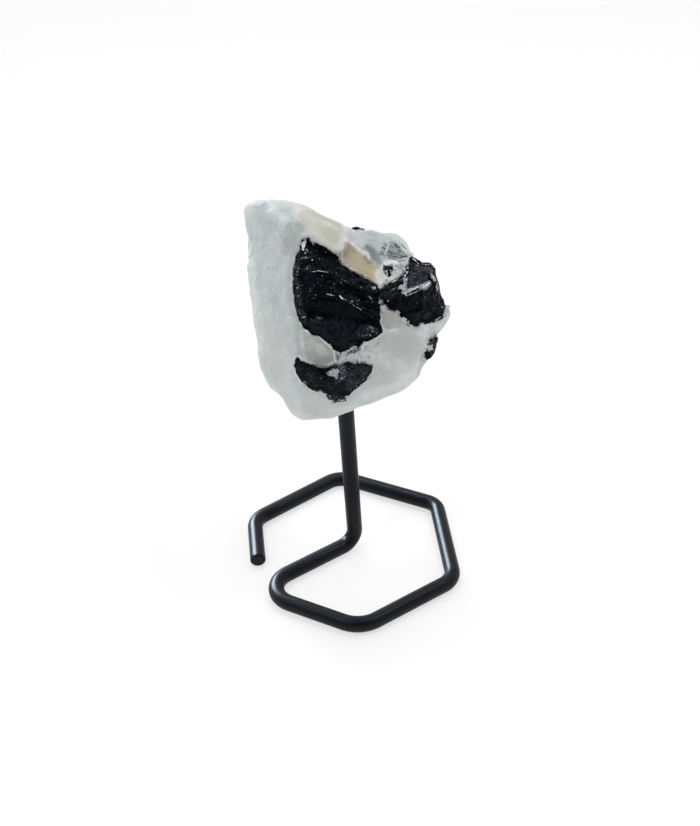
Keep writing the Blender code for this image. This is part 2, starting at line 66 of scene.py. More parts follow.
# The rod's bends, in millimetres: its corners in order, then the radius of each inner corner
ROD_CORNERS = (
    (-24.5, -3.5, 2.0), (-25.0, 12.7, 2.0), (-0.7, 29.2, 2.0), (24.9, 14.6, 2.0), (24.7, -14.9, 2.0),
    (-0.5, -29.4, 2.0), (-25.8, -14.3, 2.0), (1.3, 2.2, 2.0), (-2.1, 2.5, 60.0),
)  # fmt: skip
ROD_BENDS = (6.0, 6.0, 4.5, 6.0, 8.0, 6.0, 4.0)

# The stone's place in the frame
STONE_POSE = Matrix.LocRotScale(
    Vector((-0.9, 2.4, 71.2)) * MM, Euler((math.radians(60), 0, math.radians(-5.2))), Vector((MM, MM, MM))
)

# Each crystal's node, and the way it faces out of the stone
CRYSTAL_FACING = {
    "tourmaline_main": (0.0, 0.0, 1.0),
    "tourmaline_right": (0.0, 0.0, 1.0),
    "tourmaline_lower": (0.0, 0.0, 1.0),
    "tourmaline_chip": (0.0, 0.0, 1.0),
    "tourmaline_top": (0.0, 0.4, -0.92),
    "tourmaline_side": (0.8, -0.6, 0.0),
}

# Areas of the stone's face, as outlines on its x and y axes
AREAS = {
    "hood": (
        ((-10.6, 24.9), (-6.0, 22.4), (-0.8, 20.2), (-0.2, 17.6), (-0.1, 16.3), (-0.3, 14.9), (-0.8, 13.5),
         (-1.9, 12.8), (-3.2, 12.9), (-5.5, 14.6), (-7.6, 15.8), (-8.2, 17.4), (-10.2, 20.0)),
    ),
    "ledge": (
        ((-2.4, 12.7), (-0.8, 13.1), (-0.2, 14.6), (0.1, 15.6), (1.2, 15.2), (2.1, 14.3), (3.1, 13.7),
         (3.7, 12.8), (4.6, 13.6), (5.4, 12.2), (6.3, 10.9), (7.8, 10.1), (8.6, 8.8), (8.8, 7.0), (7.6, 6.0),
         (6.9, 5.1), (5.3, 4.7), (5.2, 6.9), (3.0, 8.0), (0.8, 9.1), (-1.2, 10.2), (-2.2, 11.6)),
    ),
    "ledge_brown": (
        ((-2.6, 12.7), (-0.8, 13.0), (-0.3, 13.8), (0.5, 13.7), (1.5, 12.5), (2.0, 11.7), (1.6, 11.2),
         (0.3, 11.2), (-0.5, 11.6), (-1.6, 10.8)),
    ),
    "ledge_rust": (((1.9, 11.0), (3.5, 11.3), (5.3, 10.5), (6.4, 8.8), (5.6, 6.9), (3.8, 7.3), (2.1, 8.7)),),
    "ledge_cream": (
        ((1.0, 15.0), (2.0, 14.4), (3.2, 13.5), (3.0, 13.2), (1.9, 14.0), (0.9, 14.7)),
        ((6.9, 9.9), (7.6, 9.5), (8.2, 9.0), (8.9, 7.0), (7.4, 5.6), (6.0, 4.6), (5.2, 4.6), (6.5, 6.7),
         (6.4, 8.8)),
        ((7.6, 9.6), (8.4, 8.4), (9.6, 7.9), (11.2, 8.0), (11.7, 8.1), (10.6, 7.3), (8.5, 6.1), (7.0, 5.4),
         (6.5, 6.5)),
        ((4.6, 14.0), (5.5, 12.1), (3.7, 12.6)),
    ),
    "glassy_lobe": (
        ((7.8, 13.4), (9.2, 15.8), (12.2, 15.9), (14.3, 14.0), (14.6, 12.2), (12.8, 11.4), (10.0, 11.6)),
    ),
    "lobe_shade": (
        ((3.4, 14.4), (4.9, 15.4), (6.4, 14.4), (7.9, 12.2), (8.6, 10.7), (7.1, 10.5), (6.0, 11.6),
         (5.3, 12.6)),
    ),
    "crumbled": (
        ((10.2, 9.9), (11.2, 11.0), (12.3, 10.7), (13.8, 9.9), (13.8, 8.7), (12.7, 8.3), (11.6, 7.6),
         (9.6, 6.9), (9.2, 7.8), (10.2, 9.0)),
        ((7.6, 10.2), (8.4, 10.6), (10.0, 10.5), (10.0, 10.2), (8.3, 10.2), (8.1, 8.8), (7.6, 8.8)),
    ),
    "rubble": (
        ((-1.4, -10.8), (-1.2, -8.6), (1.8, -8.4), (3.3, -7.6), (5.5, -6.4), (7.2, -7.0), (6.0, -9.6),
         (5.5, -11.4), (3.4, -11.9), (0.7, -11.4)),
    ),
    # Painted shade in the smooth hollow between the main and the lower crystal
    "shaded_hollow": (
        ((-9.3, -4.4), (-7.7, -5.0), (-6.4, -5.2), (-4.9, -6.6), (-2.8, -8.4), (-2.8, -10.9), (-4.7, -11.9),
         (-6.7, -11.6), (-8.4, -10.5), (-9.2, -8.3)),
    ),
    "pocket": (
        ((7.0, 2.0), (8.4, 0.4), (11.2, -0.5), (14.0, -2.3), (14.9, -3.2), (12.0, -3.7), (10.2, -3.6),
         (8.2, -4.3), (7.2, -3.4), (6.9, -1.4)),
    ),
    "notch": (((-2.6, -8.2), (-1.4, -8.6), (-1.3, -10.1), (-2.1, -10.7), (-2.6, -10.0)),),
}  # fmt: skip
CRISP_AREAS = ("hood", "ledge", "crumbled", "rubble", "glassy_lobe", "shaded_hollow")

# Soft bands of painted shade, partly greyer, clearer quartz, and of painted light, partly cloudy, paler
# quartz: a line, half its width and its strength. The shade bands darken hollows, the sides of the crystals
# and small steps, and the one at the top left also balances the highlight of the stage's window there
SHADE_AND_CLEAR_BANDS = (
    (((-12.8, 19.4), (-12.0, 16.4), (-11.9, 14.0)), 1.7, 1.0), (((-19.0, 20.0), (-14.5, 20.6)), 2.0, 0.3),
    (((-11.2, 19.6), (-11.2, 17.2)), 1.2, 0.7),
    (((-11.8, 13.4), (-12.6, 9.2), (-12.7, 5.0), (-12.2, 1.0), (-11.2, -2.0)), 0.8, 0.45),
    (((-16.6, 6.0), (-15.7, 2.6), (-13.9, -0.1), (-13.2, -4.0)), 1.6, 0.4),
    (((-14.3, 14.6), (-14.6, 9.6), (-14.0, 6.0)), 1.2, 0.25),
    (((-10.9, -3.2), (-10.6, -6.0), (-10.3, -9.0)), 0.9, 0.85), (((-9.5, -22.6), (-6.4, -22.8)), 1.5, 0.3),
    (((12.9, -8.5), (13.2, -8.5)), 0.45, 0.45), (((11.0, -9.9), (11.3, -9.9)), 0.35, 0.4),
    (((12.3, -10.2), (13.9, -10.8), (15.4, -10.8)), 0.22, 0.3), (((11.0, -19.2), (13.4, -18.2)), 0.6, 0.4),
    (((-20.0, 22.0), (-15.0, 22.4), (-10.5, 21.4)), 1.6, 0.3),
    (((1.5, 18.6), (7.6, 17.8), (12.0, 16.8)), 1.4, 0.15), (((10.5, 15.0), (10.2, 14.0)), 0.5, 0.5),
    (((2.4, 14.9), (3.4, 13.9), (3.9, 13.3)), 0.35, 0.6),
    (((7.1, -2.5), (7.8, -3.4), (9.0, -3.9), (10.6, -3.5)), 0.2, 0.5),
    (((-8.9, 19.2), (-7.5, 17.7)), 0.6, 0.35), (((-6.6, 15.5), (-5.2, 15.1)), 0.35, 0.5),
    (((13.0, -2.4), (14.6, -3.0)), 0.5, 0.6), (((-5.4, -9.4), (-4.4, -10.6)), 1.2, 0.2),
    (((16.5, -9.0), (17.2, -10.5)), 0.9, 0.3), (((18.6, -3.0), (19.6, -3.8)), 0.5, 0.5),
    (((9.4, -13.8), (8.4, -17.0)), 1.8, 0.18), (((-12.8, 15.8), (-13.0, 13.6)), 1.3, 1.2),
    (((-14.6, 22.0), (-12.8, 21.8)), 1.4, 1.0), (((-18.4, 23.8), (-16.4, 23.9)), 1.1, 0.9),
    (((-10.8, -7.2), (-9.8, -9.0)), 1.2, 0.3), (((5.9, 11.2), (6.8, 10.6)), 0.5, 0.5),
    (((10.8, 10.6), (12.2, 9.6)), 0.5, 0.7), (((-1.4, 17.6), (-1.2, 15.8)), 0.9, 0.4),
    (((12.0, 13.9), (13.6, 13.3)), 0.9, 0.3),
)  # fmt: skip
# Painted light: these bands lighten glowing edges and hollows that lie in shade, and partly mark paler quartz
LIGHT_AND_PALE_BANDS = (
    (((-22.4, 15.0), (-21.6, 8.0), (-20.9, -1.9), (-19.9, -8.7)), 1.3, 0.95),
    (((-21.6, 22.4), (-20.4, 18.6)), 1.5, 0.6), (((16.2, -4.4), (19.0, -4.8), (18.0, -6.4)), 1.6, 0.75),
    (((8.0, -18.8), (14.0, -15.6)), 1.6, 0.5), (((8.0, -10.4), (12.0, -12.4)), 1.8, 0.5),
    (((-10.3, -2.6), (-9.9, -4.6), (-9.4, -7.4), (-8.4, -9.6)), 0.4, 0.45),
    (((22.6, 0.8), (22.9, -1.6)), 0.7, 0.5), (((-3.8, 20.6), (-0.6, 19.0)), 0.7, 0.3),
    (((-5.8, 16.2), (-5.4, 15.9)), 0.5, 0.6), (((-7.2, 17.8), (-6.9, 17.6)), 0.35, 0.6),
    (((15.8, -12.0), (14.0, -15.0)), 1.8, 0.6), (((1.0, -20.8), (4.6, -19.4)), 1.0, 0.3),
    (((-18.4, 11.4), (-18.0, 8.0)), 0.7, 0.25), (((4.4, -8.6), (5.6, -9.8)), 0.8, 0.5),
    (((7.8, -4.6), (11.4, -4.4)), 0.5, 0.35), (((16.0, -3.4), (21.0, -3.4)), 1.2, 0.9),
    (((8.6, 0.6), (10.8, -1.4)), 1.8, 1.3), (((0.0, -9.4), (1.2, -9.8)), 0.5, 0.6),
    (((6.6, -10.6), (9.0, -11.6)), 1.4, 0.9), (((12.6, -11.8), (14.2, -12.6)), 1.3, 0.9),
    (((8.8, 12.8), (9.8, 12.4)), 0.6, 0.4), (((-5.6, -10.0), (-4.0, -10.8)), 0.9, 0.4),
)  # fmt: skip

# Soft bands of deep, brownish painted shade, in the hollows beside the hood and the crystals and in smaller
# hollows
DEEP_SHADE_BANDS = (
    (((-12.6, 18.6), (-12.2, 16.4), (-12.0, 14.6)), 1.1, 0.5), (((-10.6, 19.2), (-9.6, 17.8)), 0.9, 0.6),
    (((-13.2, 15.8), (-12.4, 14.2)), 1.3, 0.95), (((5.6, 12.9), (7.2, 11.6)), 0.6, 0.6),
    (((11.5, 9.7), (12.5, 9.9)), 0.4, 0.7), (((9.0, 13.0), (12.4, 12.4)), 0.9, 0.5),
    (((2.6, -8.6), (4.0, -8.0)), 0.7, 0.5), (((-10.6, -4.4), (-10.2, -7.4)), 0.5, 0.3),
)  # fmt: skip
# Soft bands of warm, beige quartz
WARMS = (
    (((-16.0, -4.0), (-15.4, -9.0), (-15.0, -14.0)), 1.8, 0.8),
    (((5.0, -11.0), (8.0, -14.0), (9.6, -18.4)), 2.4, 1.0),
    (((-12.0, -20.4), (-6.0, -21.4), (0.0, -20.6)), 1.8, 0.5),
    (((8.6, -7.6), (14.4, -8.0), (15.0, -12.0)), 2.2, 0.8), (((8.4, -1.6), (11.0, -2.6)), 1.5, 0.9),
    (((-15.2, 20.6), (-12.6, 20.4)), 1.0, 0.5), (((-8.6, -6.4), (-5.0, -10.0)), 1.6, 0.8),
    (((-14.2, 2.0), (-14.6, -2.0)), 0.8, 0.4),
)  # fmt: skip

# Fine marks on the face: a line and half its width. Healed cracks look white, open ones look dark; the white
# line along the hood's lip is a painted highlight
WHITE_MARKS = (
    (((0.1, 15.6), (1.2, 15.2), (2.1, 14.3)), 0.2), (((2.1, 14.3), (3.1, 13.6), (3.8, 12.6)), 0.12),
    (((4.5, 13.2), (4.9, 12.2), (5.3, 11.6)), 0.28), (((9.9, 15.7), (9.4, 14.5), (8.9, 13.2)), 0.16),
    (((12.4, 15.2), (13.8, 14.0), (15.0, 12.9)), 0.16), (((12.7, 11.9), (13.7, 12.3)), 0.14),
    (((13.0, 10.3), (14.1, 11.6)), 0.16), (((13.9, 15.0), (14.5, 13.8)), 0.22),
    (((7.9, 12.6), (8.5, 10.9), (10.2, 10.6)), 0.12),
    (((-6.4, 15.1), (-4.7, 14.4), (-4.1, 13.6), (-2.8, 13.0)), 0.16), (((-0.9, 12.8), (-0.9, 10.9)), 0.1),
    (((-1.2, 9.9), (0.8, 8.9), (2.3, 8.0), (4.5, 7.2), (5.6, 6.9)), 0.16),
    (((-10.1, -2.7), (-9.1, -3.8), (-7.9, -4.8), (-6.5, -4.7), (-5.5, -5.9), (-4.1, -7.2),
      (-2.8, -8.2)), 0.14),
    (((-10.2, -9.7), (-8.9, -10.9), (-7.3, -11.6), (-5.9, -12.0), (-4.3, -11.8), (-3.0, -11.0)), 0.16),
    (((-2.7, -8.4), (-2.7, -10.1), (-2.3, -11.0)), 0.14),
    (((-10.7, -3.5), (-10.3, -5.7), (-9.5, -7.9)), 0.07), (((-9.9, -4.8), (-9.5, -7.0), (-8.6, -8.7)), 0.05),
    (((-1.4, -10.4), (0.6, -9.8), (1.6, -9.2)), 0.1),
    (((3.3, -8.1), (3.8, -7.2), (5.1, -6.4), (6.6, -5.7), (7.8, -4.8)), 0.2),
    (((6.1, -7.3), (7.4, -6.2)), 0.07),
    (((7.0, 1.9), (7.4, 1.2), (7.8, 0.5), (10.0, -0.1), (12.2, -1.2), (14.0, -2.4)), 0.14),
    (((8.8, -4.2), (10.1, -3.9), (11.2, -3.9)), 0.12), (((9.0, -4.7), (10.4, -4.5), (11.6, -4.6)), 0.06),
    (((10.4, 10.0), (11.0, 10.8), (11.9, 11.0), (12.7, 10.6), (13.6, 10.2), (13.8, 9.6), (13.0, 9.2),
      (11.9, 8.9), (11.0, 8.6), (10.5, 8.3)), 0.26),
    (((8.7, 6.9), (10.4, 7.3), (11.8, 8.0), (12.8, 8.5)), 0.18),
    (((14.0, -2.9), (17.0, -3.2), (19.6, -2.6)), 0.16), (((17.0, -4.0), (19.8, -4.2)), 0.08),
)  # fmt: skip
WHITE_DOTS = (
    (-15.7, 0.0, 0.22), (-12.8, -1.1, 0.26), (-14.7, 13.6, 0.2), (-14.9, 12.8, 0.14), (-12.1, 13.9, 0.12),
    (-9.0, -6.8, 0.16), (-16.0, 4.6, 0.16), (3.7, -10.2, 0.2), (5.4, -10.4, 0.18), (2.6, -9.8, 0.16),
)  # fmt: skip
DARK_MARKS = (
    (((4.8, 19.4), (6.0, 19.0)), 0.12), (((7.8, 18.9), (8.8, 18.7)), 0.12),
    (((1.6, -9.0), (2.2, -8.4), (3.0, -8.0)), 0.16), (((0.2, -9.4), (0.9, -8.4)), 0.16),
    (((2.6, -8.9), (3.2, -9.6)), 0.07), (((-0.6, -9.0), (0.0, -9.6)), 0.06),
    (((8.3, 14.9), (8.9, 14.5)), 0.2), (((11.3, 15.6), (12.4, 14.7)), 0.18),
    (((10.0, 12.9), (11.0, 13.3), (12.6, 13.4)), 0.12), (((12.6, 12.4), (14.0, 12.8)), 0.2),
    (((12.9, 15.5), (13.8, 14.5), (14.3, 13.6)), 0.1), (((12.2, 11.3), (13.4, 12.0)), 0.1),
    (((11.6, 11.6), (12.3, 10.6)), 0.12), (((10.9, 15.8), (11.6, 14.6)), 0.08),
    (((9.6, 12.3), (11.2, 12.5), (12.4, 12.2)), 0.06), (((-12.4, 21.2), (-11.9, 20.4)), 0.08),
    (((-10.8, 14.2), (-10.1, 14.5)), 0.1), (((0.1, -9.6), (0.5, -8.9), (1.2, -8.6), (1.9, -8.0)), 0.13),
    (((0.5, -8.9), (-0.3, -8.5)), 0.06), (((1.2, -8.6), (1.3, -9.2)), 0.08),
    (((-1.5, -8.6), (-1.3, -9.0)), 0.12), (((6.0, -7.5), (7.3, -6.4)), 0.05),
    (((13.0, -2.1), (14.2, -2.8), (16.1, -3.1)), 0.1), (((13.2, -2.8), (13.9, -3.2)), 0.1),
    (((7.3, 0.2), (7.9, -0.3)), 0.08), (((-2.1, -9.6), (-1.9, -10.2)), 0.14),
    (((-2.4, 12.2), (-1.4, 11.4)), 0.05), (((3.4, -11.4), (4.4, -10.8)), 0.06),
    (((17.6, -8.2), (18.3, -8.8)), 0.06),
)  # fmt: skip
DARK_DOTS = (
    (-7.0, 16.2, 0.13), (-7.5, 16.6, 0.08), (-1.6, 11.9, 0.14), (11.3, 10.1, 0.2), (10.9, 9.2, 0.2),
    (12.7, 9.1, 0.2), (8.7, 6.9, 0.16), (4.9, -9.8, 0.18), (5.1, -8.7, 0.16), (3.4, -9.0, 0.1),
    (4.4, -7.8, 0.1), (2.4, -10.6, 0.1), (6.6, -9.2, 0.07), (14.2, 11.0, 0.1), (9.9, 8.3, 0.1),
)  # fmt: skip

# Raised edges and sunk lines of the face: a line, half its width and its height in millimetres
CRESTS = (
    (((0.1, 15.6), (1.2, 15.2), (2.1, 14.3), (3.1, 13.7), (3.8, 12.7)), 0.5, 0.5),
    (((4.5, 13.0), (4.9, 12.0)), 0.6, 0.9),
    (((-1.2, 9.9), (0.8, 8.9), (2.3, 8.0), (4.5, 7.2), (5.6, 6.9)), 0.4, 0.3),
    (((8.8, 7.2), (7.4, 6.0)), 0.6, 0.35), (((10.2, 9.9), (11.2, 10.9), (12.3, 10.5), (13.6, 9.7)), 0.4, 0.5),
    (((3.3, -8.1), (3.8, -7.2), (5.1, -6.4), (7.6, -4.9)), 0.4, 0.3),
    (((-10.2, -9.7), (-8.9, -10.9), (-7.3, -11.6), (-5.9, -12.0), (-4.3, -11.8), (-3.0, -11.0)), 0.4, 0.3),
    (((7.8, -3.9), (9.0, -4.3), (11.4, -4.0)), 0.5, 0.3),
    (((-9.4, 16.6), (-7.4, 15.9), (-5.4, 14.9), (-3.6, 13.5), (-1.9, 13.1), (-0.8, 13.8),
      (-0.4, 15.2)), 0.6, 0.3),
    (((-2.7, -8.4), (-2.7, -10.4)), 0.35, 0.25), (((-2.0, -8.6), (-1.9, -10.4)), 0.45, -0.6),
    (((-0.3, 14.6), (-0.7, 12.4), (-2.2, 12.0)), 0.5, -0.5), (((8.6, -1.0), (9.4, -1.8)), 1.2, 0.35),
    (((5.2, 14.6), (6.6, 12.0), (8.4, 10.6)), 0.9, -0.6),
    (((12.8, -2.2), (14.4, -2.9), (16.0, -3.3)), 0.35, -0.35),
    (((7.1, -2.5), (7.9, -3.3), (9.6, -3.6)), 0.4, -0.3), (((0.3, -8.9), (1.4, -8.9)), 0.4, -0.4),
)  # fmt: skip

# The crystals' fronts. Pale film patches with painted sheen, and duller slate faces partly painted sheen, as
# outlines, the second with their strength
FILM_AND_SHEEN_PATCHES = (
    ((11.3, 5.5), (12.0, 6.0), (12.5, 6.2), (12.4, 7.4), (13.6, 7.5), (13.7, 7.0), (13.2, 6.4), (13.3, 5.0),
     (13.6, 4.6), (12.9, 3.5), (12.0, 4.0), (12.2, 4.8), (11.5, 5.0)),
    ((12.2, 4.0), (12.9, 3.7), (14.1, 4.4), (15.5, 5.0), (16.4, 5.1), (17.0, 4.7), (17.8, 4.8), (18.8, 5.8),
     (18.8, 7.0), (18.1, 6.8), (16.7, 6.1), (15.2, 5.5), (13.6, 4.9)),
    ((19.9, 6.4), (20.7, 6.2), (20.8, 5.0), (20.3, 4.6), (19.9, 5.4)),
    ((18.6, 8.8), (19.8, 8.0), (20.1, 7.0), (19.6, 6.6), (18.9, 7.6)),
    ((-4.5, -13.1), (-3.9, -12.8), (-3.1, -12.4), (-2.1, -12.3), (-1.7, -12.4), (-1.7, -13.7), (-1.9, -14.4),
     (-2.3, -14.7), (-2.7, -14.2), (-3.4, -14.1), (-4.0, -14.2), (-4.4, -13.7)),
    ((5.4, 5.3), (6.3, 5.4), (6.5, 4.9), (5.7, 4.6)),
)  # fmt: skip
# Painted highlights: thin pale lines along glossy ridges and edges, a line and half its width
HIGHLIGHT_LINES = (
    (((15.0, 11.8), (15.5, 11.3), (16.2, 10.6)), 0.12),
    (((16.4, 10.9), (17.6, 10.5), (18.9, 10.7), (19.8, 10.2)), 0.09),
    (((15.4, 10.4), (17.0, 9.8), (18.6, 9.7), (19.6, 9.3)), 0.08), (((17.0, 5.8), (18.6, 6.7)), 0.2),
    (((3.6, -3.2), (5.0, -4.0), (6.6, -4.6)), 0.05), (((4.4, -3.0), (5.6, -3.9)), 0.05),
    (((2.8, -5.4), (4.4, -5.2), (6.4, -4.8)), 0.04), (((20.2, 5.4), (20.8, 4.0)), 0.1),
    (((-10.6, 9.0), (-10.9, 6.6)), 0.03), (((-0.6, -12.2), (1.2, -12.6)), 0.05),
    (((12.9, 3.3), (15.0, 4.2), (17.2, 5.4)), 0.12),
)  # fmt: skip
SLATE_AND_SHEEN_PATCHES = (
    (((-1.6, -12.0), (-0.4, -11.9), (-0.1, -12.9), (-0.4, -13.7), (-0.6, -15.1), (-1.7, -14.8), (-1.4, -13.7),
      (-1.5, -12.7)), 1.6),
    (((0.4, -6.6), (1.6, -6.4), (2.0, -7.6), (0.8, -8.0)), 0.3),
    (((13.9, 8.8), (15.3, 9.7), (18.2, 9.3), (18.9, 8.4), (17.8, 6.5), (15.7, 5.4), (13.7, 4.7),
      (13.5, 6.3)), 0.6),
    (((6.9, 4.7), (9.5, 5.8), (11.0, 5.3), (11.4, 3.0), (9.5, 2.5), (7.6, 3.3)), 0.05),
    (((11.8, 3.2), (16.0, 4.0), (20.6, 5.6), (22.0, 0.6), (19.6, -1.8), (15.0, -2.6), (10.6, 0.4)), 0.03),
    (((0.3, -11.6), (2.9, -11.5), (5.6, -12.0), (4.3, -14.5), (2.1, -16.4), (0.2, -18.0),
      (-0.3, -15.4)), 0.36),
    (((-11.2, -10.8), (-8.4, -11.6), (-6.0, -12.5), (-5.2, -14.5), (-6.8, -17.2), (-9.2, -15.7),
      (-11.0, -13.6)), 0.1),
    (((-4.2, -19.0), (-2.4, -18.7), (-0.6, -19.0), (-0.3, -20.2), (-3.5, -20.4)), 0.45),
    (((-9.1, -1.8), (-3.6, -1.4), (1.8, -1.8), (2.2, -5.0), (0.0, -8.0), (-3.6, -7.0), (-7.6, -4.4)), 0.13),
    (((2.3, -3.3), (4.6, -2.7), (6.8, -3.8), (6.6, -4.8), (3.6, -6.0), (2.1, -5.2)), 0.4),
    (((-11.0, 13.6), (-10.1, 13.2), (-10.3, 10.2), (-10.3, 6.9), (-9.9, 3.6), (-9.4, 0.4), (-8.4, -2.4),
      (-9.8, -3.4), (-11.4, 0.6), (-12.2, 7.0)), 0.38),
)  # fmt: skip
# Painted glints: small highlights painted on the crystals' edges and points, a line and half its width
GLINTS = (
    (((-7.9, 8.6), (-6.2, 8.8), (-4.0, 8.5)), 0.045), (((-4.2, 3.8), (-2.7, 3.4)), 0.06),
    (((-1.4, 3.4), (-0.8, 2.7)), 0.12), (((-0.8, 2.7), (-0.1, 2.5)), 0.06), (((2.2, 0.9), (3.3, 0.3)), 0.06),
    (((4.7, 3.4), (5.5, 2.7)), 0.05), (((-9.4, 16.0), (-9.0, 15.9)), 0.2),
    (((-9.2, 15.3), (-9.5, 14.2)), 0.36), (((-9.8, 15.2), (-9.9, 14.5)), 0.12),
    (((-9.7, 13.7), (-9.4, 13.4)), 0.16), (((-8.7, 13.6), (-8.4, 13.2)), 0.07),
    (((-8.9, 12.9), (-9.1, 12.5)), 0.07), (((9.9, 6.4), (10.9, 6.9), (11.6, 7.3)), 0.06),
    (((2.6, -4.0), (2.7, -5.0)), 0.04), (((5.0, -3.1), (5.9, -3.7)), 0.05), (((7.4, 5.0), (8.2, 5.6)), 0.03),
    (((-10.4, 0.4), (-10.2, -0.6)), 0.05), (((-9.8, -1.3), (-9.0, -1.0)), 0.06),
    (((0.6, 2.0), (2.0, 1.0)), 0.03), (((15.2, 11.6), (15.6, 11.2), (16.1, 10.8)), 0.12),
    (((16.9, 5.4), (18.4, 6.3)), 0.2), (((13.4, 4.3), (15.6, 5.3)), 0.08),
)  # fmt: skip
GLINT_DOTS = (
    (-1.2, -12.3, 0.1), (-0.5, -12.7, 0.08), (-0.9, -13.3, 0.1), (-0.5, -14.1, 0.08), (-1.1, -14.5, 0.12),
    (-0.8, -12.0, 0.07), (-7.5, 11.2, 0.16), (1.2, 2.3, 0.13), (-3.4, 5.1, 0.1), (-2.7, 6.0, 0.08),
    (-6.6, 3.6, 0.09), (-7.9, 4.5, 0.1), (-6.5, 13.3, 0.13), (-7.8, 13.0, 0.08), (9.1, 2.3, 0.14),
    (-1.0, 7.1, 0.08), (-0.3, 6.6, 0.07), (-1.2, 6.2, 0.08), (2.1, 6.0, 0.08), (3.2, 5.3, 0.08),
    (-5.3, 7.7, 0.1), (-4.4, 6.8, 0.07), (-6.2, 6.2, 0.06), (-10.4, 9.4, 0.1), (-10.8, 5.2, 0.16),
    (-10.4, 5.6, 0.1), (-10.1, 4.9, 0.07), (-10.9, 7.2, 0.07), (-10.6, 3.4, 0.1), (-10.2, 1.6, 0.08),
    (-8.2, 9.9, 0.07), (4.3, 4.2, 0.06),
)  # fmt: skip

# Steps across the crystals' broken fronts: a line, with the ground below it raised by a height
STEPS = {
    "tourmaline_main": (
        (((-8.2, 9.1), (-6.0, 9.3), (-4.2, 8.9)), 0.4),
        (((-10.4, 4.4), (-8.6, 4.9), (-6.4, 4.2), (-4.6, 4.3), (-2.7, 3.7)), 0.4),
        (((-2.4, 4.4), (-1.2, 3.3), (-0.1, 2.6)), 0.5),
        (((0.4, 2.7), (2.0, 1.6), (3.8, 0.5), (5.4, 0.1)), 0.45),
        (((-5.6, 6.9), (-3.4, 6.3), (-1.6, 6.5)), 0.35), (((-0.6, 6.6), (1.8, 5.9), (3.6, 4.6)), 0.35),
        (((-9.4, 11.6), (-7.6, 11.4), (-6.2, 11.8)), 0.3),
    ),
    "tourmaline_right": (
        (((14.0, 9.4), (16.4, 9.4), (18.8, 9.1)), 0.4),
        (((12.4, 3.6), (14.6, 4.9), (17.2, 6.0), (19.4, 7.0)), 0.5),
    ),
    "tourmaline_lower": ((((-5.0, -14.6), (-3.0, -14.3), (-0.8, -15.2)), 0.35),),
}  # fmt: skip
CALM = (
    ((-9.0, 1.9), (-3.6, 2.2), (-0.3, 1.6), (5.1, -0.8), (6.6, -2.6), (2.2, -3.0), (1.4, -5.4), (-0.6, -7.2),
     (-3.6, -7.2), (-7.4, -4.6), (-9.6, -1.6)),
    ((-5.4, -15.2), (-3.6, -14.8), (-0.6, -15.6), (-0.4, -18.4), (-2.4, -19.4), (-4.2, -18.2)),
)  # fmt: skip

# Where the crystal behind the top edge shows above the stone, as spans along x
TOP_SHOWS = ((0.5, 5.0),)

# The noise's seed, for the stone and for each of its crystals
NOISE_SEEDS = {
    "quartz": 5, "tourmaline_main": 5, "tourmaline_right": 12, "tourmaline_lower": 5, "tourmaline_chip": 12,
    "tourmaline_top": 5, "tourmaline_side": 5,
}  # fmt: skip

# Shaping the stone and its crystals, in millimetres
FRONT_REACHES = -8.0  # the z at which the front's marks end
FAR_FROM_CRYSTALS = 1.5  # where a crystal no longer matters to the stone
RAY_START = 30.0  # clear of everything
SINK_BELOW = 1.6  # how far under a crystal's surface the stone is still fitted to it
SINK_ABOVE = 1.2  # and how far over it
SINK_DEPTH = 0.8  # how far under the crystal's surface it then lies
POCKET_GAP = 0.36  # closes the gap between a pocket and its crystal
OWN_SURFACE = 0.15  # a point this near to the stone's solid is the stone's own
CRYSTAL_SWELL = 0.2
# How far the stone's edge is moved out all round, and more at its left, top and foot past these places
EDGE_OUT = 0.25
LEFT_OUT, LEFT_END = 0.4, 15.0
TOP_OUT, TOP_END = 0.35, 18.0
FOOT_OUT, FOOT_END = 0.25, 19.0
# How far the stone gives way, and the crystal behind it is lowered, along the top edge
TOP_CLEARED = 0.45
TOP_LOWERED = 0.9
# The run, the cliff and the reach of a step across a crystal
STEP_RUN = 1.1
STEP_CLIFF = 0.12
STEP_REACH = 4.0
# The small painted glints are strong left of this x
SPECKLED_TO = 7.5

# Rounds of smoothing: the whole stone, its faces, its broad soft faces, what counts as hollow, the crystals
EVEN_ROUNDS = 2
FACE_ROUNDS = 6
BROAD_ROUNDS = 90
HOLLOW_ROUNDS = 70
CRYSTAL_ROUNDS = 3

# Layers of chips on the crystals: size, height, the share left on calm faces, stretch and noise offset
CRYSTAL_CHIPS = (
    (3.2, 0.18, 0.35, (1.5, 0.8, 1.0), 4.0),
    (1.4, 0.17, 0.0, (1.5, 0.8, 1.0), 7.0),
    (0.6, 0.12, 0.0, (1.3, 0.8, 1.0), 9.0),
)

# Sizes of the lumps in the finishes, in metres
COAT_CLOUD_SIZE = 0.006
COAT_PEEL_SIZE = 0.0007
CLOUD_SIZE = 0.008
VEIL_SIZE = 0.004
GRAIN_SIZE = 0.0011
FROST_SIZE = 0.0004
DENT_SIZE = 0.0018
SHARD_SIZE = 0.0013
SEAM_SIZE = 0.011
PATCH_SIZE = 0.0035
FINE_SIZE = 0.0004
FLAKE_SIZE = 0.0007
STREAK_SIZE = 0.0006
SPECK_SIZE = 0.0005
QUARTZ_IOR = 1.544
TOURMALINE_IOR = 1.63

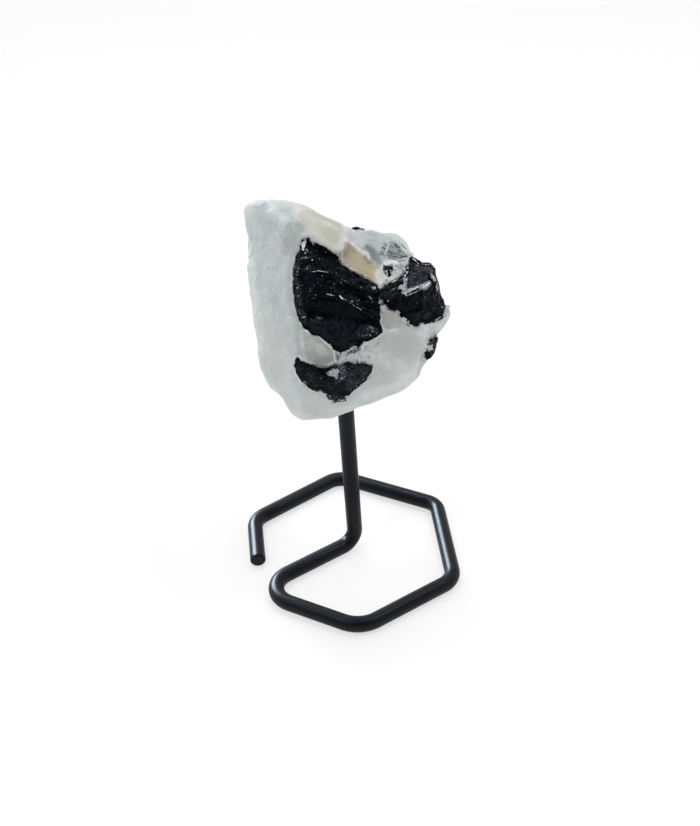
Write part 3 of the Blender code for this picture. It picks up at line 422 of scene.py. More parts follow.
# Places where a piece is drawn sideways: a place, a radius and the shift at its middle
NUDGES = {
    "quartz": (
        ((10.8, 17.6), 1.8, (0.1, 0.65)), ((7.4, 19.2), 1.5, (0.0, -0.25)), ((14.2, 14.6), 1.6, (0.35, 0.1)),
        ((23.2, 1.6), 1.2, (0.5, 0.25)), ((23.4, -0.8), 1.5, (0.3, 0.0)), ((16.0, -13.0), 3.0, (0.15, -0.1)),
        ((21.4, 5.6), 1.8, (-0.35, 0.0)), ((-22.0, 10.3), 1.0, (-0.4, 0.0)),
        ((-20.6, -6.6), 2.4, (0.35, 0.0)), ((-22.8, 12.6), 2.4, (0.2, 0.0)),
    ),
    "tourmaline_main": (((7.0, 4.0), 1.4, (0.3, 0.0)),),
    "tourmaline_right": (
        ((7.4, 3.6), 1.5, (-0.9, 0.0)), ((20.3, 8.4), 1.5, (-0.15, 0.0)), ((18.0, 11.4), 2.5, (0.0, -0.3)),
        ((11.6, -1.8), 1.5, (0.2, 0.6)), ((21.0, 3.6), 1.2, (-0.3, 0.0)), ((22.0, 0.0), 2.0, (-0.5, 0.1)),
    ),
    "tourmaline_side": (((21.0, -7.4), 1.6, (-0.4, 0.0)),),
}  # fmt: skip
# The dark crevice where the main and the right crystal meet: its place, radius and depth
CREVICE = ((7.0, 3.6), 0.8, 1.2)
# Where the stone still covers part of the side crystal, as an outline
COVERED = (
    (14.5, -6.4), (17.4, -6.6), (18.2, -7.4), (19.7, -7.7), (19.6, -8.7), (19.0, -9.3), (18.4, -9.9),
    (17.9, -10.7), (14.5, -12.0),
)  # fmt: skip
COVERED_DEPTH = 1.2
# The corner from which the needles in the glassy lobe spread like a fan
FAN_CORNER = (15.0, 11.4)


class StandSettings(bpy.types.PropertyGroup):
    rod_diameter: FloatProperty(
        name="Rod Diameter", description="Thickness of the steel rod with its coat",
        default=0.004, min=0.001, unit="LENGTH",
    )  # fmt: skip
    rod_sides: IntProperty(name="Rod Sides", description="Faces round the rod", default=40, min=12)
    bend_segments: IntProperty(name="Bend Segments", description="Points along each bend", default=14, min=3)
    end_rounding: FloatProperty(
        name="End Rounding", description="Radius that the coat leaves on the sawn ends",
        default=0.0005, min=0.0, unit="LENGTH",
    )  # fmt: skip
    coat_colour: FloatVectorProperty(
        name="Coat Colour", description="Colour of the black powder coat",
        default=(0.003, 0.0046, 0.0072), subtype="COLOR", min=0, max=1,
    )  # fmt: skip


class QuartzSettings(bpy.types.PropertyGroup):
    mesh_size: FloatProperty(
        name="Mesh Size", description="Distance between the points of the stone's surface",
        default=0.00035, min=0.0001, unit="LENGTH",
    )  # fmt: skip
    milk_colour: FloatVectorProperty(
        name="Milk Colour", description="Colour of the cloudy quartz",
        default=(0.68, 0.735, 0.72), subtype="COLOR", min=0, max=1,
    )  # fmt: skip
    cool_colour: FloatVectorProperty(
        name="Cool Colour", description="Colour of the clearer, bluish quartz",
        default=(0.66, 0.705, 0.735), subtype="COLOR", min=0, max=1,
    )  # fmt: skip
    warm_colour: FloatVectorProperty(
        name="Warm Colour", description="Colour of the beige quartz",
        default=(0.69, 0.69, 0.655), subtype="COLOR", min=0, max=1,
    )  # fmt: skip
    # Also the colour of the painted shade in the hollows and the shade bands
    clear_and_shade_colour: FloatVectorProperty(
        name="Clear and Shade Colour", description="Colour of the clearest quartz, which looks darker",
        default=(0.46, 0.50, 0.50), subtype="COLOR", min=0, max=1,
    )  # fmt: skip
    needle_colour: FloatVectorProperty(
        name="Needle Colour", description="Colour of the fine dark needles and open cracks",
        default=(0.05, 0.055, 0.065), subtype="COLOR", min=0, max=1,
    )  # fmt: skip
    cream_colour: FloatVectorProperty(
        name="Cream Colour", description="Colour of the stained hood over the main crystal",
        default=(0.625, 0.62, 0.512), subtype="COLOR", min=0, max=1,
    )  # fmt: skip
    ledge_colour: FloatVectorProperty(
        name="Ledge Colour", description="Colour of the tan ledge beside the main crystal",
        default=(0.505, 0.45, 0.325), subtype="COLOR", min=0, max=1,
    )  # fmt: skip
    brown_colour: FloatVectorProperty(
        name="Brown Colour", description="Colour of the ledge's dark upper end",
        default=(0.46, 0.43, 0.345), subtype="COLOR", min=0, max=1,
    )  # fmt: skip
    rust_colour: FloatVectorProperty(
        name="Rust Colour", description="Colour of the iron stain on the ledge",
        default=(0.54, 0.42, 0.22), subtype="COLOR", min=0, max=1,
    )  # fmt: skip
    # Painted shade: the colour of the smooth hollow between the crystals, the notch and the deep shade bands
    hollow_shade_colour: FloatVectorProperty(
        name="Hollow Shade Colour", description="Colour of the smooth, faintly stained hollows",
        default=(0.42, 0.43, 0.40), subtype="COLOR", min=0, max=1,
    )  # fmt: skip
    glassy_colour: FloatVectorProperty(
        name="Glassy Colour", description="Colour of the clear lobe beside the ledge",
        default=(0.33, 0.36, 0.355), subtype="COLOR", min=0, max=1,
    )  # fmt: skip
    # Also the colour of the painted light bands and the painted highlights on ridges
    fracture_and_light_colour: FloatVectorProperty(
        name="Fracture and Light Colour", description="Colour of freshly broken, sugary quartz",
        default=(0.93, 0.95, 0.94), subtype="COLOR", min=0, max=1,
    )  # fmt: skip
    depth_of_light: FloatProperty(
        name="Depth of Light", description="How far light spreads inside the stone",
        default=0.003, min=0.0, unit="LENGTH",
    )  # fmt: skip


class TourmalineSettings(bpy.types.PropertyGroup):
    mesh_size: FloatProperty(
        name="Mesh Size", description="Distance between the points of a crystal's surface",
        default=0.00018, min=0.0001, unit="LENGTH",
    )  # fmt: skip
    black_colour: FloatVectorProperty(
        name="Black Colour", description="Colour of the tourmaline",
        default=(0.0012, 0.0016, 0.0028), subtype="COLOR", min=0, max=1,
    )  # fmt: skip
    # Also a painted sheen and painted highlight lines
    film_and_sheen_colour: FloatVectorProperty(
        name="Film and Sheen Colour", description="Colour of the pale film left on some broken faces",
        default=(0.58, 0.60, 0.64), subtype="COLOR", min=0, max=1,
    )  # fmt: skip
    # Also a painted sheen on some smooth facets
    slate_and_sheen_colour: FloatVectorProperty(
        name="Slate and Sheen Colour", description="Colour of the duller, greyer broken faces",
        default=(0.055, 0.066, 0.084), subtype="COLOR", min=0, max=1,
    )  # fmt: skip
    # The glints are painted highlights in this colour
    glint_colour: FloatVectorProperty(
        name="Glint Colour", description="Colour of the bright edges and points",
        default=(0.85, 0.88, 0.92), subtype="COLOR", min=0, max=1,
    )  # fmt: skip


class StudioSettings(bpy.types.PropertyGroup):
    floor_size: FloatProperty(
        name="Floor Size", description="Width of the pale floor", default=8.0, min=0.5, unit="LENGTH"
    )
    floor_colour: FloatVectorProperty(
        name="Floor Colour", description="Colour of the floor",
        default=(0.42, 0.42, 0.42), subtype="COLOR", min=0, max=1,
    )  # fmt: skip
    floor_glow: FloatProperty(
        name="Floor Glow", description="Light that the floor gives off, which softens the shadows",
        default=0.64, min=0.0,
    )  # fmt: skip
    window_colour: FloatVectorProperty(
        name="Window Colour", description="Colour of the window's light, seen in highlights only",
        default=(0.72, 0.86, 1.0), subtype="COLOR", min=0, max=1,
    )  # fmt: skip
    surround: FloatProperty(
        name="Surround", description="Brightness of the white surroundings", default=0.85, min=0.0
    )
    dim_side: FloatProperty(
        name="Dim Side", description="Brightness of the dim side, in front and above", default=0.15, min=0.0
    )


class ModelSettings(bpy.types.PropertyGroup):
    stand: PointerProperty(type=StandSettings)
    quartz: PointerProperty(type=QuartzSettings)
    tourmaline: PointerProperty(type=TourmalineSettings)
    studio: PointerProperty(type=StudioSettings)


def add_node(tree, kind, settings=None, **inputs):
    """Adds a node with these settings. Each input is a value or a socket, named with _ for a space."""
    made = tree.nodes.new(kind)
    for name, value in (settings or {}).items():
        setattr(made, name, value)
    for name, value in inputs.items():
        feed(tree, made.inputs[name.replace("_", " ")], value)
    return made


def feed(tree, socket, value):
    """Links a socket or sets a value. A colour gets its alpha."""
    if isinstance(value, bpy.types.NodeSocket):
        tree.links.new(value, socket)
    elif socket.type == "RGBA":
        socket.default_value = (*value[:3], 1)
    else:
        socket.default_value = value


def mixed(tree, factor, first, second, blend="MIX"):
    """The colour between first and second."""
    made = add_node(tree, "ShaderNodeMix", {"data_type": "RGBA", "blend_type": blend, "clamp_result": True})
    for index, value in ((0, factor), (6, first), (7, second)):
        feed(tree, made.inputs[index], value)
    return made.outputs[2]


def maths(tree, operation, first, second=0.0, clamp=False):
    """The result of a sum on two values or sockets."""
    made = add_node(tree, "ShaderNodeMath", {"operation": operation, "use_clamp": clamp})
    feed(tree, made.inputs[0], first)
    feed(tree, made.inputs[1], second)
    return made.outputs[0]


def times(tree, first, second):
    """The product of two values or sockets."""
    return maths(tree, "MULTIPLY", first, second)


def mapped(tree, value, low, high, to_low=0.0, to_high=1.0):
    """Spreads low..high over to_low..to_high with a soft start and end."""
    made = add_node(
        tree, "ShaderNodeMapRange", {"interpolation_type": "SMOOTHSTEP"},
        Value=value, From_Min=low, From_Max=high, To_Min=to_low, To_Max=to_high,
    )  # fmt: skip
    return made.outputs["Result"]


def noise_of(tree, where, size, detail=3.0, roughness=0.5, distortion=0.0):
    """Noise whose lumps are about size metres across."""
    made = add_node(
        tree, "ShaderNodeTexNoise", Vector=where, Scale=1 / size, Detail=detail, Roughness=roughness,
        Distortion=distortion,
    )  # fmt: skip
    return made.outputs["Fac"]


def cell_edges(tree, where, size, thickness):
    """1 along the edges between uneven cells about size metres across."""
    made = add_node(
        tree, "ShaderNodeTexVoronoi", {"feature": "DISTANCE_TO_EDGE"}, Vector=where, Scale=1 / size
    )
    return mapped(tree, made.outputs["Distance"], 0.0, thickness, 1.0, 0.0)


def warped(tree, where, size, distance):
    """The place moved by up to about that distance, so that straight edges wander."""
    clouds = add_node(tree, "ShaderNodeTexNoise", Vector=where, Scale=1 / size, Detail=2.0).outputs["Color"]
    centred = add_node(tree, "ShaderNodeVectorMath", {"operation": "SUBTRACT"})
    tree.links.new(clouds, centred.inputs[0])
    centred.inputs[1].default_value = (0.5, 0.5, 0.5)
    moved = add_node(tree, "ShaderNodeVectorMath", {"operation": "MULTIPLY_ADD"})
    tree.links.new(centred.outputs["Vector"], moved.inputs[0])
    moved.inputs[1].default_value = (2 * distance,) * 3
    tree.links.new(where, moved.inputs[2])
    return moved.outputs["Vector"]


def around(tree, value, reach):
    """The noise's value moved to swing evenly about zero, by about reach."""
    return times(tree, maths(tree, "SUBTRACT", value, 0.5), 4 * reach)


def stretched(tree, where, turn, scale):
    """The place turned and scaled, which draws a pattern out into streaks."""
    made = add_node(tree, "ShaderNodeMapping", Vector=where, Rotation=turn, Scale=scale)
    return made.outputs["Vector"]


def bump(tree, height, distance, strength, base=None):
    """The surface's direction over a relief, which may lie on another relief."""
    made = add_node(tree, "ShaderNodeBump", Height=height, Distance=distance, Strength=strength)
    if base:
        tree.links.new(base, made.inputs["Normal"])
    return made.outputs["Normal"]


def attribute(tree, name):
    """A value that Surface.paint stored at each point."""
    return add_node(tree, "ShaderNodeAttribute", {"attribute_name": name}).outputs["Fac"]


def new_material(name):
    """A material with its tree, its shader and the object's own coordinates."""
    material = bpy.data.materials.new(name)
    material.use_nodes = True
    tree = material.node_tree
    where = add_node(tree, "ShaderNodeTexCoord").outputs["Object"]
    return material, tree, tree.nodes["Principled BSDF"], where


def add_object(name, mesh, material=None):
    obj = bpy.data.objects.new(name, mesh)
    bpy.context.scene.collection.objects.link(obj)
    if material:
        obj.data.materials.clear()
        obj.data.materials.append(material)
    return obj


def made_plain(obj):
    """Gives the object the mesh that its modifiers make, and takes them off."""
    graph = bpy.context.evaluated_depsgraph_get()
    mesh = bpy.data.meshes.new_from_object(obj.evaluated_get(graph), depsgraph=graph)
    obj.modifiers.clear()
    obj.data = mesh
    return obj


def joined_solid(node):
    """A bmesh of a CAD node's triangles, joined along their edges."""
    bm = bmesh.new()
    bm.from_mesh(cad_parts[node].data)
    bmesh.ops.remove_doubles(bm, verts=bm.verts[:], dist=1e-6)
    bm.normal_update()
    return bm


def swell(bm, distance):
    """Moves each point outward along its normal."""
    shifts = [vert.normal * distance for vert in bm.verts]
    for vert, shift in zip(bm.verts, shifts):
        vert.co += shift


def remeshed(name, bm, mesh_size):
    """An even mesh over the outside of the solids in bm, which is freed."""
    mesh = bpy.data.meshes.new(name)
    bm.to_mesh(mesh)
    bm.free()
    obj = add_object(name, mesh)
    modifier = obj.modifiers.new("even_mesh", "REMESH")
    modifier.mode = "VOXEL"
    modifier.voxel_size = mesh_size
    modifier.use_smooth_shade = True
    return made_plain(obj)


class Surface:
    """A mesh's points on the stone's axes, in millimetres, with what shaping them needs."""

    def __init__(self, obj):
        self.mesh = obj.data
        flat = np.empty(len(self.mesh.vertices) * 3)
        self.mesh.vertices.foreach_get("co", flat)
        inverse = np.array(STONE_POSE.inverted())
        self.points = flat.reshape(-1, 3) @ inverse[:3, :3].T + inverse[:3, 3]
        edges = np.empty(len(self.mesh.edges) * 2, np.int32)
        self.mesh.edges.foreach_get("vertices", edges)
        self.edges = edges.reshape(-1, 2)

    def remember_home(self):
        """Keeps where each point lies now, before any shaping."""
        layer = self.mesh.attributes.new("home", "FLOAT_VECTOR", "POINT")
        layer.data.foreach_set("vector", self.points.ravel().astype(np.float32))

    def home(self):
        """Where each point lay before any shaping."""
        flat = np.empty(len(self.mesh.vertices) * 3, np.float32)
        self.mesh.attributes["home"].data.foreach_get("vector", flat)
        return flat.reshape(-1, 3)

    def forget_home(self):
        self.mesh.attributes.remove(self.mesh.attributes["home"])

    def neighbour_mean(self, values):
        """For each point, the mean of the values at the points that its edges lead to."""
        count = len(self.points)
        first, second = self.edges.T
        sums = np.stack(
            [np.bincount(first, column[second], count) + np.bincount(second, column[first], count)
             for column in values.T], axis=1,
        )  # fmt: skip
        edges_at = np.bincount(self.edges.ravel(), minlength=count)
        return sums / np.maximum(edges_at, 1)[:, None]

    def smooth(self, rounds, share=1.0):
        """Evens the surface out. share says how much each point takes part, from 0 to 1."""
        step = 0.6 * np.broadcast_to(share, len(self.points))[:, None]
        for _ in range(rounds):
            self.points += step * (self.neighbour_mean(self.points) - self.points)

    def spread(self, values, rounds):
        """Evens out a value at each point."""
        column = np.asarray(values, float)[:, None]
        for _ in range(rounds):
            column = self.neighbour_mean(column)
        return column[:, 0]

    def hollowness(self, rounds):
        """How far each point lies below its surroundings, in millimetres. It is negative on ridges."""
        around = self.points
        for _ in range(rounds):
            around = self.neighbour_mean(around)
        return np.einsum("ij,ij->i", around - self.points, self.normals())

    def normals(self):
        """The way out of the surface at each point."""
        self.write()
        flat = np.empty(len(self.mesh.vertices) * 3)
        self.mesh.vertex_normals.foreach_get("vector", flat)
        return flat.reshape(-1, 3) @ np.array(STONE_POSE.to_3x3().normalized())

    def push(self, heights):
        """Moves each point outward along its normal by its height."""
        self.points += self.normals() * np.asarray(heights)[:, None]

    def write(self):
        """Puts the points back in the mesh, in the frame."""
        matrix = np.array(STONE_POSE)
        flat = self.points @ matrix[:3, :3].T + matrix[:3, 3]
        self.mesh.vertices.foreach_set("co", flat.ravel())
        self.mesh.update()

    def paint(self, name, values):
        """Stores a value for each point, which the material reads by this name."""
        layer = self.mesh.attributes.new(name, "FLOAT", "POINT")
        layer.data.foreach_set("value", np.asarray(values, np.float32))


def layered_noise(points, size, seed, octaves=3):
    """Smooth noise from about -1 to 1, with lumps about size across."""
    offset = Vector((seed, -seed, seed * 0.5))
    return np.array([noise.fractal(Vector(p) / size + offset, 1.0, 2.0, octaves) for p in points.tolist()])


def chips(points, size, seed, stretch=(1, 1, 1), wander=0.35):
    """Heights of small planes, each tilted its own way, which meet in sharp creases."""
    heights = np.empty(len(points))
    offset = Vector((seed, seed * 0.3, -seed))
    for i, point in enumerate((points / stretch).tolist()):
        here = Vector(point) / size + offset
        here += wander * noise.noise_vector(here * 1.9)
        centre = noise.voronoi(here)[1][0]
        tilt = 2 * noise.cell_vector(centre * 7.3) - Vector((1, 1, 1))
        heights[i] = tilt.dot(here - centre)
    return heights * size


def wandering(points, *layers):
    """The points moved sideways by layers of noise, each a size and a distance."""
    moved = points.copy()
    for seed, (size, distance) in enumerate(layers):
        offset = Vector((seed * 5.0 + 1.0, 2.0, 7.0))
        moved += distance * np.array([noise.noise_vector(Vector(p) / size + offset) for p in points.tolist()])
    return moved


def edge_distance(points, outline):
    """How far each point is inside the outline, seen along z. It is negative outside."""
    corners = np.array(outline)
    nearest = np.full(len(points), np.inf)
    inside = np.zeros(len(points), bool)
    x, y = points[:, 0], points[:, 1]
    for (ax, ay), (bx, by) in zip(corners, np.roll(corners, -1, axis=0)):
        dx, dy = bx - ax, by - ay
        along = np.clip(((x - ax) * dx + (y - ay) * dy) / (dx * dx + dy * dy), 0, 1)
        nearest = np.minimum(nearest, np.hypot(x - ax - along * dx, y - ay - along * dy))
        crosses = (ay > y) != (by > y)
        if dy:
            inside ^= crosses & (x < ax + (y - ay) * dx / dy)
    return np.where(inside, nearest, -nearest)


def inside_distance(points, outlines):
    """How far each point is inside the nearest of the outlines."""
    return np.max([edge_distance(points, outline) for outline in outlines], axis=0)


def area(points, outlines, fade):
    """1 inside the outlines and 0 outside, seen along z, with an edge that fades."""
    return np.clip(0.5 + inside_distance(points, outlines) / fade, 0, 1)


def line_distance(points, line):
    """Distance to the line seen along z, and which side: positive above it on y."""
    best = np.full(len(points), np.inf)
    side = np.ones(len(points))
    x, y = points[:, 0], points[:, 1]
    for (ax, ay), (bx, by) in zip(line, line[1:]):
        dx, dy = bx - ax, by - ay
        along = np.clip(((x - ax) * dx + (y - ay) * dy) / (dx * dx + dy * dy), 0, 1)
        away = np.hypot(x - ax - along * dx, y - ay - along * dy)
        closer = away < best
        best = np.where(closer, away, best)
        side = np.where(closer, np.sign(dx * (y - ay) - dy * (x - ax)), side)
    return best, side


def beyond(values, start, fade):
    """0 up to start, then rising to 1 over fade."""
    return np.clip((values - start) / fade, 0, 1)


def hump(away, half):
    """1 in the middle, fading to each side over about half."""
    return np.exp(-((away / half) ** 2))


def nudge(surface, nudges):
    """Draws the points near some places sideways."""
    for place, radius, shift in nudges:
        away = np.hypot(*(surface.points[:, :2] - place).T)
        surface.points[:, :2] += hump(away, radius)[:, None] * np.array(shift)


def dots(spots):
    """Round marks as very short lines."""
    return tuple((((x, y), (x + 0.01, y)), radius) for x, y, radius in spots)


def mark_distance(points, marks):
    """How far each point is outside the nearest mark. It is negative on a mark."""
    return np.min([line_distance(points, line)[0] - half for line, half in marks], axis=0)


def band_strength(points, bands):
    """The strength of the nearest soft band, which fades to each side of its line."""
    strengths = [share * hump(line_distance(points, line)[0], half) for line, half, share in bands]
    return np.max(strengths, axis=0)


def make_coat(settings):
    """Black powder coat with a fine orange peel."""
    material, tree, shader, where = new_material("black_powder_coat")
    clouds = noise_of(tree, where, COAT_CLOUD_SIZE, 2)
    peel = noise_of(tree, where, COAT_PEEL_SIZE, 3, 0.6)
    lighter = [channel * 1.9 for channel in settings.coat_colour]
    feed(tree, shader.inputs["Base Color"], mixed(tree, clouds, settings.coat_colour, lighter))
    feed(tree, shader.inputs["Roughness"], mapped(tree, peel, 0.3, 0.7, 0.32, 0.38))
    feed(tree, shader.inputs["Normal"], bump(tree, peel, 0.00001, 0.15))
    shader.inputs["Specular IOR Level"].default_value = 0.16
    return material


def make_rod_tree():
    """Follows a line of straight runs with a round rod, rounding each corner by its own radius."""
    tree = bpy.data.node_groups.new("bent_rod", "GeometryNodeTree")
    sockets = (
        ("Route", "NodeSocketGeometry"), ("Rod Diameter", "NodeSocketFloat"), ("Rod Sides", "NodeSocketInt"),
        ("Bend Segments", "NodeSocketInt"), ("Finish", "NodeSocketMaterial"),
    )  # fmt: skip
    for name, kind in sockets:
        tree.interface.new_socket(name, in_out="INPUT", socket_type=kind)
    tree.interface.new_socket("Rod", in_out="OUTPUT", socket_type="NodeSocketGeometry")
    given = add_node(tree, "NodeGroupInput").outputs
    run = add_node(tree, "GeometryNodeMeshToCurve", Mesh=given["Route"])
    radius = add_node(tree, "GeometryNodeInputNamedAttribute", {"data_type": "FLOAT"}, Name="bend_radius")
    bent = add_node(
        tree, "GeometryNodeFilletCurve", {"mode": "POLY"}, Curve=run.outputs["Curve"],
        Count=given["Bend Segments"], Radius=radius.outputs["Attribute"],
    )  # fmt: skip
    half = times(tree, given["Rod Diameter"], 0.5)
    circle = add_node(tree, "GeometryNodeCurvePrimitiveCircle", Resolution=given["Rod Sides"], Radius=half)
    rod = add_node(
        tree, "GeometryNodeCurveToMesh", Curve=bent.outputs["Curve"], Profile_Curve=circle.outputs["Curve"],
        Fill_Caps=True,
    )  # fmt: skip
    smooth = add_node(tree, "GeometryNodeSetShadeSmooth", Geometry=rod.outputs["Mesh"])
    real = add_node(tree, "GeometryNodeRealizeInstances", Geometry=smooth.outputs["Geometry"])
    finished = add_node(
        tree, "GeometryNodeSetMaterial", Geometry=real.outputs["Geometry"], Material=given["Finish"]
    )
    out = add_node(tree, "NodeGroupOutput")
    tree.links.new(finished.outputs["Geometry"], out.inputs["Rod"])
    return tree


def set_inputs(modifier, **values):
    """Sets the modifier's inputs, named with _ for a space."""
    for item in modifier.node_group.interface.items_tree:
        key = item.name.replace(" ", "_")
        if item.in_out == "INPUT" and key in values:
            modifier[item.identifier] = values[key]


class MakeStand(bpy.types.Operator):
    """Bends the black rod into its open hexagon and post"""

    bl_idname = "quartz.make_stand"
    bl_label = "Make Stand"

    def execute(self, context):
        settings = context.scene.quartz_model.stand
        material = make_coat(settings)
        route = bpy.data.meshes.new("wire_stand_detail")
        corners = [Vector(corner) * MM for corner in ROD_CORNERS]
        route.from_pydata(corners, [(i, i + 1) for i in range(len(corners) - 1)], [])
        bends = route.attributes.new("bend_radius", "FLOAT", "POINT")
        bends.data.foreach_set("value", [0.0, *(radius * MM for radius in ROD_BENDS), 0.0])
        stand = add_object("wire_stand_detail", route)
        modifier = stand.modifiers.new("bent_rod", "NODES")
        modifier.node_group = make_rod_tree()
        set_inputs(
            modifier, Rod_Diameter=settings.rod_diameter, Rod_Sides=settings.rod_sides,
            Bend_Segments=settings.bend_segments, Finish=material,
        )  # fmt: skip
        made_plain(stand)
        self.round_ends(stand.data, settings)
        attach(stand, BODY)
        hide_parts("wire_stand")
        return {"FINISHED"}

    def round_ends(self, mesh, settings):
        """Rounds the edges of the rod's two flat ends."""
        bm = bmesh.new()
        bm.from_mesh(mesh)
        caps = [face for face in bm.faces if len(face.verts) > 4]
        edges = {edge for cap in caps for edge in cap.edges}
        bmesh.ops.bevel(
            bm, geom=list(edges), offset=settings.end_rounding, segments=4, profile=0.5, affect="EDGES"
        )
        bmesh.ops.recalc_face_normals(bm, faces=bm.faces[:])
        bm.to_mesh(mesh)
        bm.free()


def make_quartz_material(settings):
    """Milky quartz: each colour is laid over the ones before it, by noise and by what is painted."""
    material, tree, shader, where = new_material("milky_quartz")
    clouds = noise_of(tree, where, CLOUD_SIZE, 4, 0.6, 0.4)
    drawn = stretched(tree, where, (0.3, 0.5, 0.2), (1.0, 2.6, 1.0))
    veils = noise_of(tree, drawn, VEIL_SIZE, 5, 0.65, 0.9)
    grain = noise_of(tree, where, GRAIN_SIZE, 4, 0.65)
    frost = noise_of(tree, where, FROST_SIZE, 5, 0.7)
    front = attribute(tree, "front")

    def inside(name, fade, ragged=0.3):
        """1 inside one of the face's areas, whose edge wanders with the grain."""
        edge = maths(tree, "ADD", attribute(tree, name), around(tree, grain, ragged))
        return times(tree, mapped(tree, edge, -fade, fade), front)

    def marked(name, ragged):
        """1 on the fine marks of this name."""
        away = maths(tree, "ADD", attribute(tree, name), around(tree, frost, ragged))
        return times(tree, mapped(tree, away, -0.06, 0.1, 1.0, 0.0), front)

    def patchy(share, texture, low, high, least):
        """The share, weakened where the texture is low."""
        return times(tree, share, mapped(tree, texture, low, high, least, 1.0))

    def dye(base, share, shade):
        """The base with a share of another colour."""
        return mixed(tree, share, base, shade)

    # Cloudy, veined and clear quartz, with painted light and painted shade in bands and hollows
    colour = dye(settings.cool_colour, mapped(tree, clouds, 0.36, 0.62), settings.milk_colour)
    colour = dye(colour, mapped(tree, veils, 0.5, 0.75, 0.0, 0.5), settings.fracture_and_light_colour)
    colour = dye(colour, mapped(tree, veils, 0.26, 0.46, 0.4, 0.0), settings.clear_and_shade_colour)
    # Painted light from the light bands, partly paler quartz
    colour = dye(colour, patchy(attribute(tree, "light"), veils, 0.3, 0.6, 0.5), settings.fracture_and_light_colour)
    # Painted shade: the hollows and the shade bands are darkened towards the clear quartz's colour
    hollow = attribute(tree, "hollow")
    deep_shade = mapped(tree, hollow, 0.0, 1.0, 0.0, 0.5)
    deep_shade = patchy(maths(tree, "ADD", deep_shade, attribute(tree, "shade"), True), grain, 0.25, 0.6, 0.65)
    colour = dye(colour, deep_shade, settings.clear_and_shade_colour)
    colour = dye(colour, patchy(attribute(tree, "warm"), clouds, 0.3, 0.6, 0.6), settings.warm_colour)
    # Deep painted shade from the deep shade bands
    colour = dye(colour, patchy(attribute(tree, "deep_shade"), grain, 0.3, 0.6, 0.6), settings.hollow_shade_colour)
    colour = dye(colour, mapped(tree, grain, 0.4, 0.75, 0.0, 0.3), settings.clear_and_shade_colour)
    # The painted shade of a smooth hollow, and the stained and the glassy areas
    colour = dye(colour, patchy(inside("shaded_hollow", 0.4), veils, 0.3, 0.6, 0.6), settings.hollow_shade_colour)
    pocket = patchy(inside("pocket", 0.35), veils, 0.3, 0.6, 0.5)
    colour = dye(colour, times(tree, pocket, 0.1), settings.ledge_colour)
    colour = dye(colour, patchy(inside("hood", 1.2, 0.9), clouds, 0.3, 0.6, 0.75), settings.cream_colour)
    colour = dye(colour, patchy(inside("lobe_shade", 0.6), veils, 0.3, 0.6, 0.6), settings.glassy_colour)
    lobe = inside("glassy_lobe", 0.9, 0.5)
    colour = dye(colour, times(tree, patchy(lobe, veils, 0.35, 0.5, 0.4), 0.9), settings.glassy_colour)
    # The needles in the glassy lobe, which spread like a fan
    fan = add_node(
        tree, "ShaderNodeCombineXYZ", X=times(tree, attribute(tree, "fan_turn"), 9.0),
        Y=times(tree, attribute(tree, "fan_reach"), 0.45),
    )  # fmt: skip
    strokes = noise_of(tree, warped(tree, fan.outputs["Vector"], 1.5, 0.35), 1.0, 3, 0.7)
    for low, high, shade in ((0.5, 0.42, settings.needle_colour), (0.6, 0.68, settings.fracture_and_light_colour)):
        stroke = patchy(times(tree, lobe, mapped(tree, strokes, low, high)), grain, 0.38, 0.55, 0.1)
        colour = dye(colour, times(tree, stroke, 0.85), shade)

    # The ledge with its stains
    colour = dye(colour, patchy(inside("ledge", 0.15, 0.12), grain, 0.3, 0.55, 0.8), settings.ledge_colour)
    brown = patchy(inside("ledge_brown", 0.8, 0.5), veils, 0.35, 0.6, 0.35)
    colour = dye(colour, brown, settings.brown_colour)
    rust = patchy(inside("ledge_rust", 1.4, 0.6), grain, 0.3, 0.6, 0.4)
    colour = dye(colour, times(tree, rust, 0.75), settings.rust_colour)
    cream = patchy(inside("ledge_cream", 0.6, 0.5), grain, 0.3, 0.6, 0.4)
    colour = dye(colour, times(tree, cream, 0.8), settings.fracture_and_light_colour)

    # Rubble, healed seams, painted highlights on ridges, white rims and crumbs, and the fine marks
    shards = cell_edges(tree, warped(tree, where, 0.0012, 0.0003), SHARD_SIZE, 0.05)
    rubble = inside("rubble", 0.5)
    broken = times(tree, patchy(rubble, veils, 0.45, 0.6, 0.15), 0.6)
    colour = dye(colour, broken, settings.fracture_and_light_colour)
    colour = dye(colour, patchy(times(tree, shards, rubble), frost, 0.5, 0.6, 0.0), settings.clear_and_shade_colour)
    # Painted shade in the notch
    colour = dye(colour, patchy(inside("notch", 0.3, 0.3), grain, 0.35, 0.6, 0.3), settings.hollow_shade_colour)
    seams = cell_edges(tree, warped(tree, where, 0.006, 0.004), SEAM_SIZE, 0.012)
    seams = times(tree, patchy(seams, clouds, 0.45, 0.6, 0.0), 0.5)
    # Painted highlight: the ridges are painted paler
    ridge_highlight = mapped(tree, hollow, -0.14, -1.0)
    white = times(tree, maths(tree, "MAXIMUM", ridge_highlight, seams), 0.45)
    near = maths(tree, "ADD", attribute(tree, "crystal_distance"), around(tree, grain, 0.1))
    rim = mapped(tree, near, 0.3, 0.6, 0.95, 0.0)
    crumbs = patchy(inside("crumbled", 0.3, 0.2), frost, 0.4, 0.54, 0.3)
    crumbs = times(tree, crumbs, maths(tree, "SUBTRACT", 1.0, attribute(tree, "deep_shade")))
    for bright in (rim, crumbs, patchy(marked("white_marks", 0.1), grain, 0.3, 0.5, 0.35)):
        white = maths(tree, "MAXIMUM", white, bright)
    colour = dye(colour, white, settings.fracture_and_light_colour)
    dark = patchy(marked("dark_marks", 0.12), grain, 0.3, 0.5, 0.55)
    colour = dye(colour, dark, settings.needle_colour)
    feed(tree, shader.inputs["Base Color"], colour)

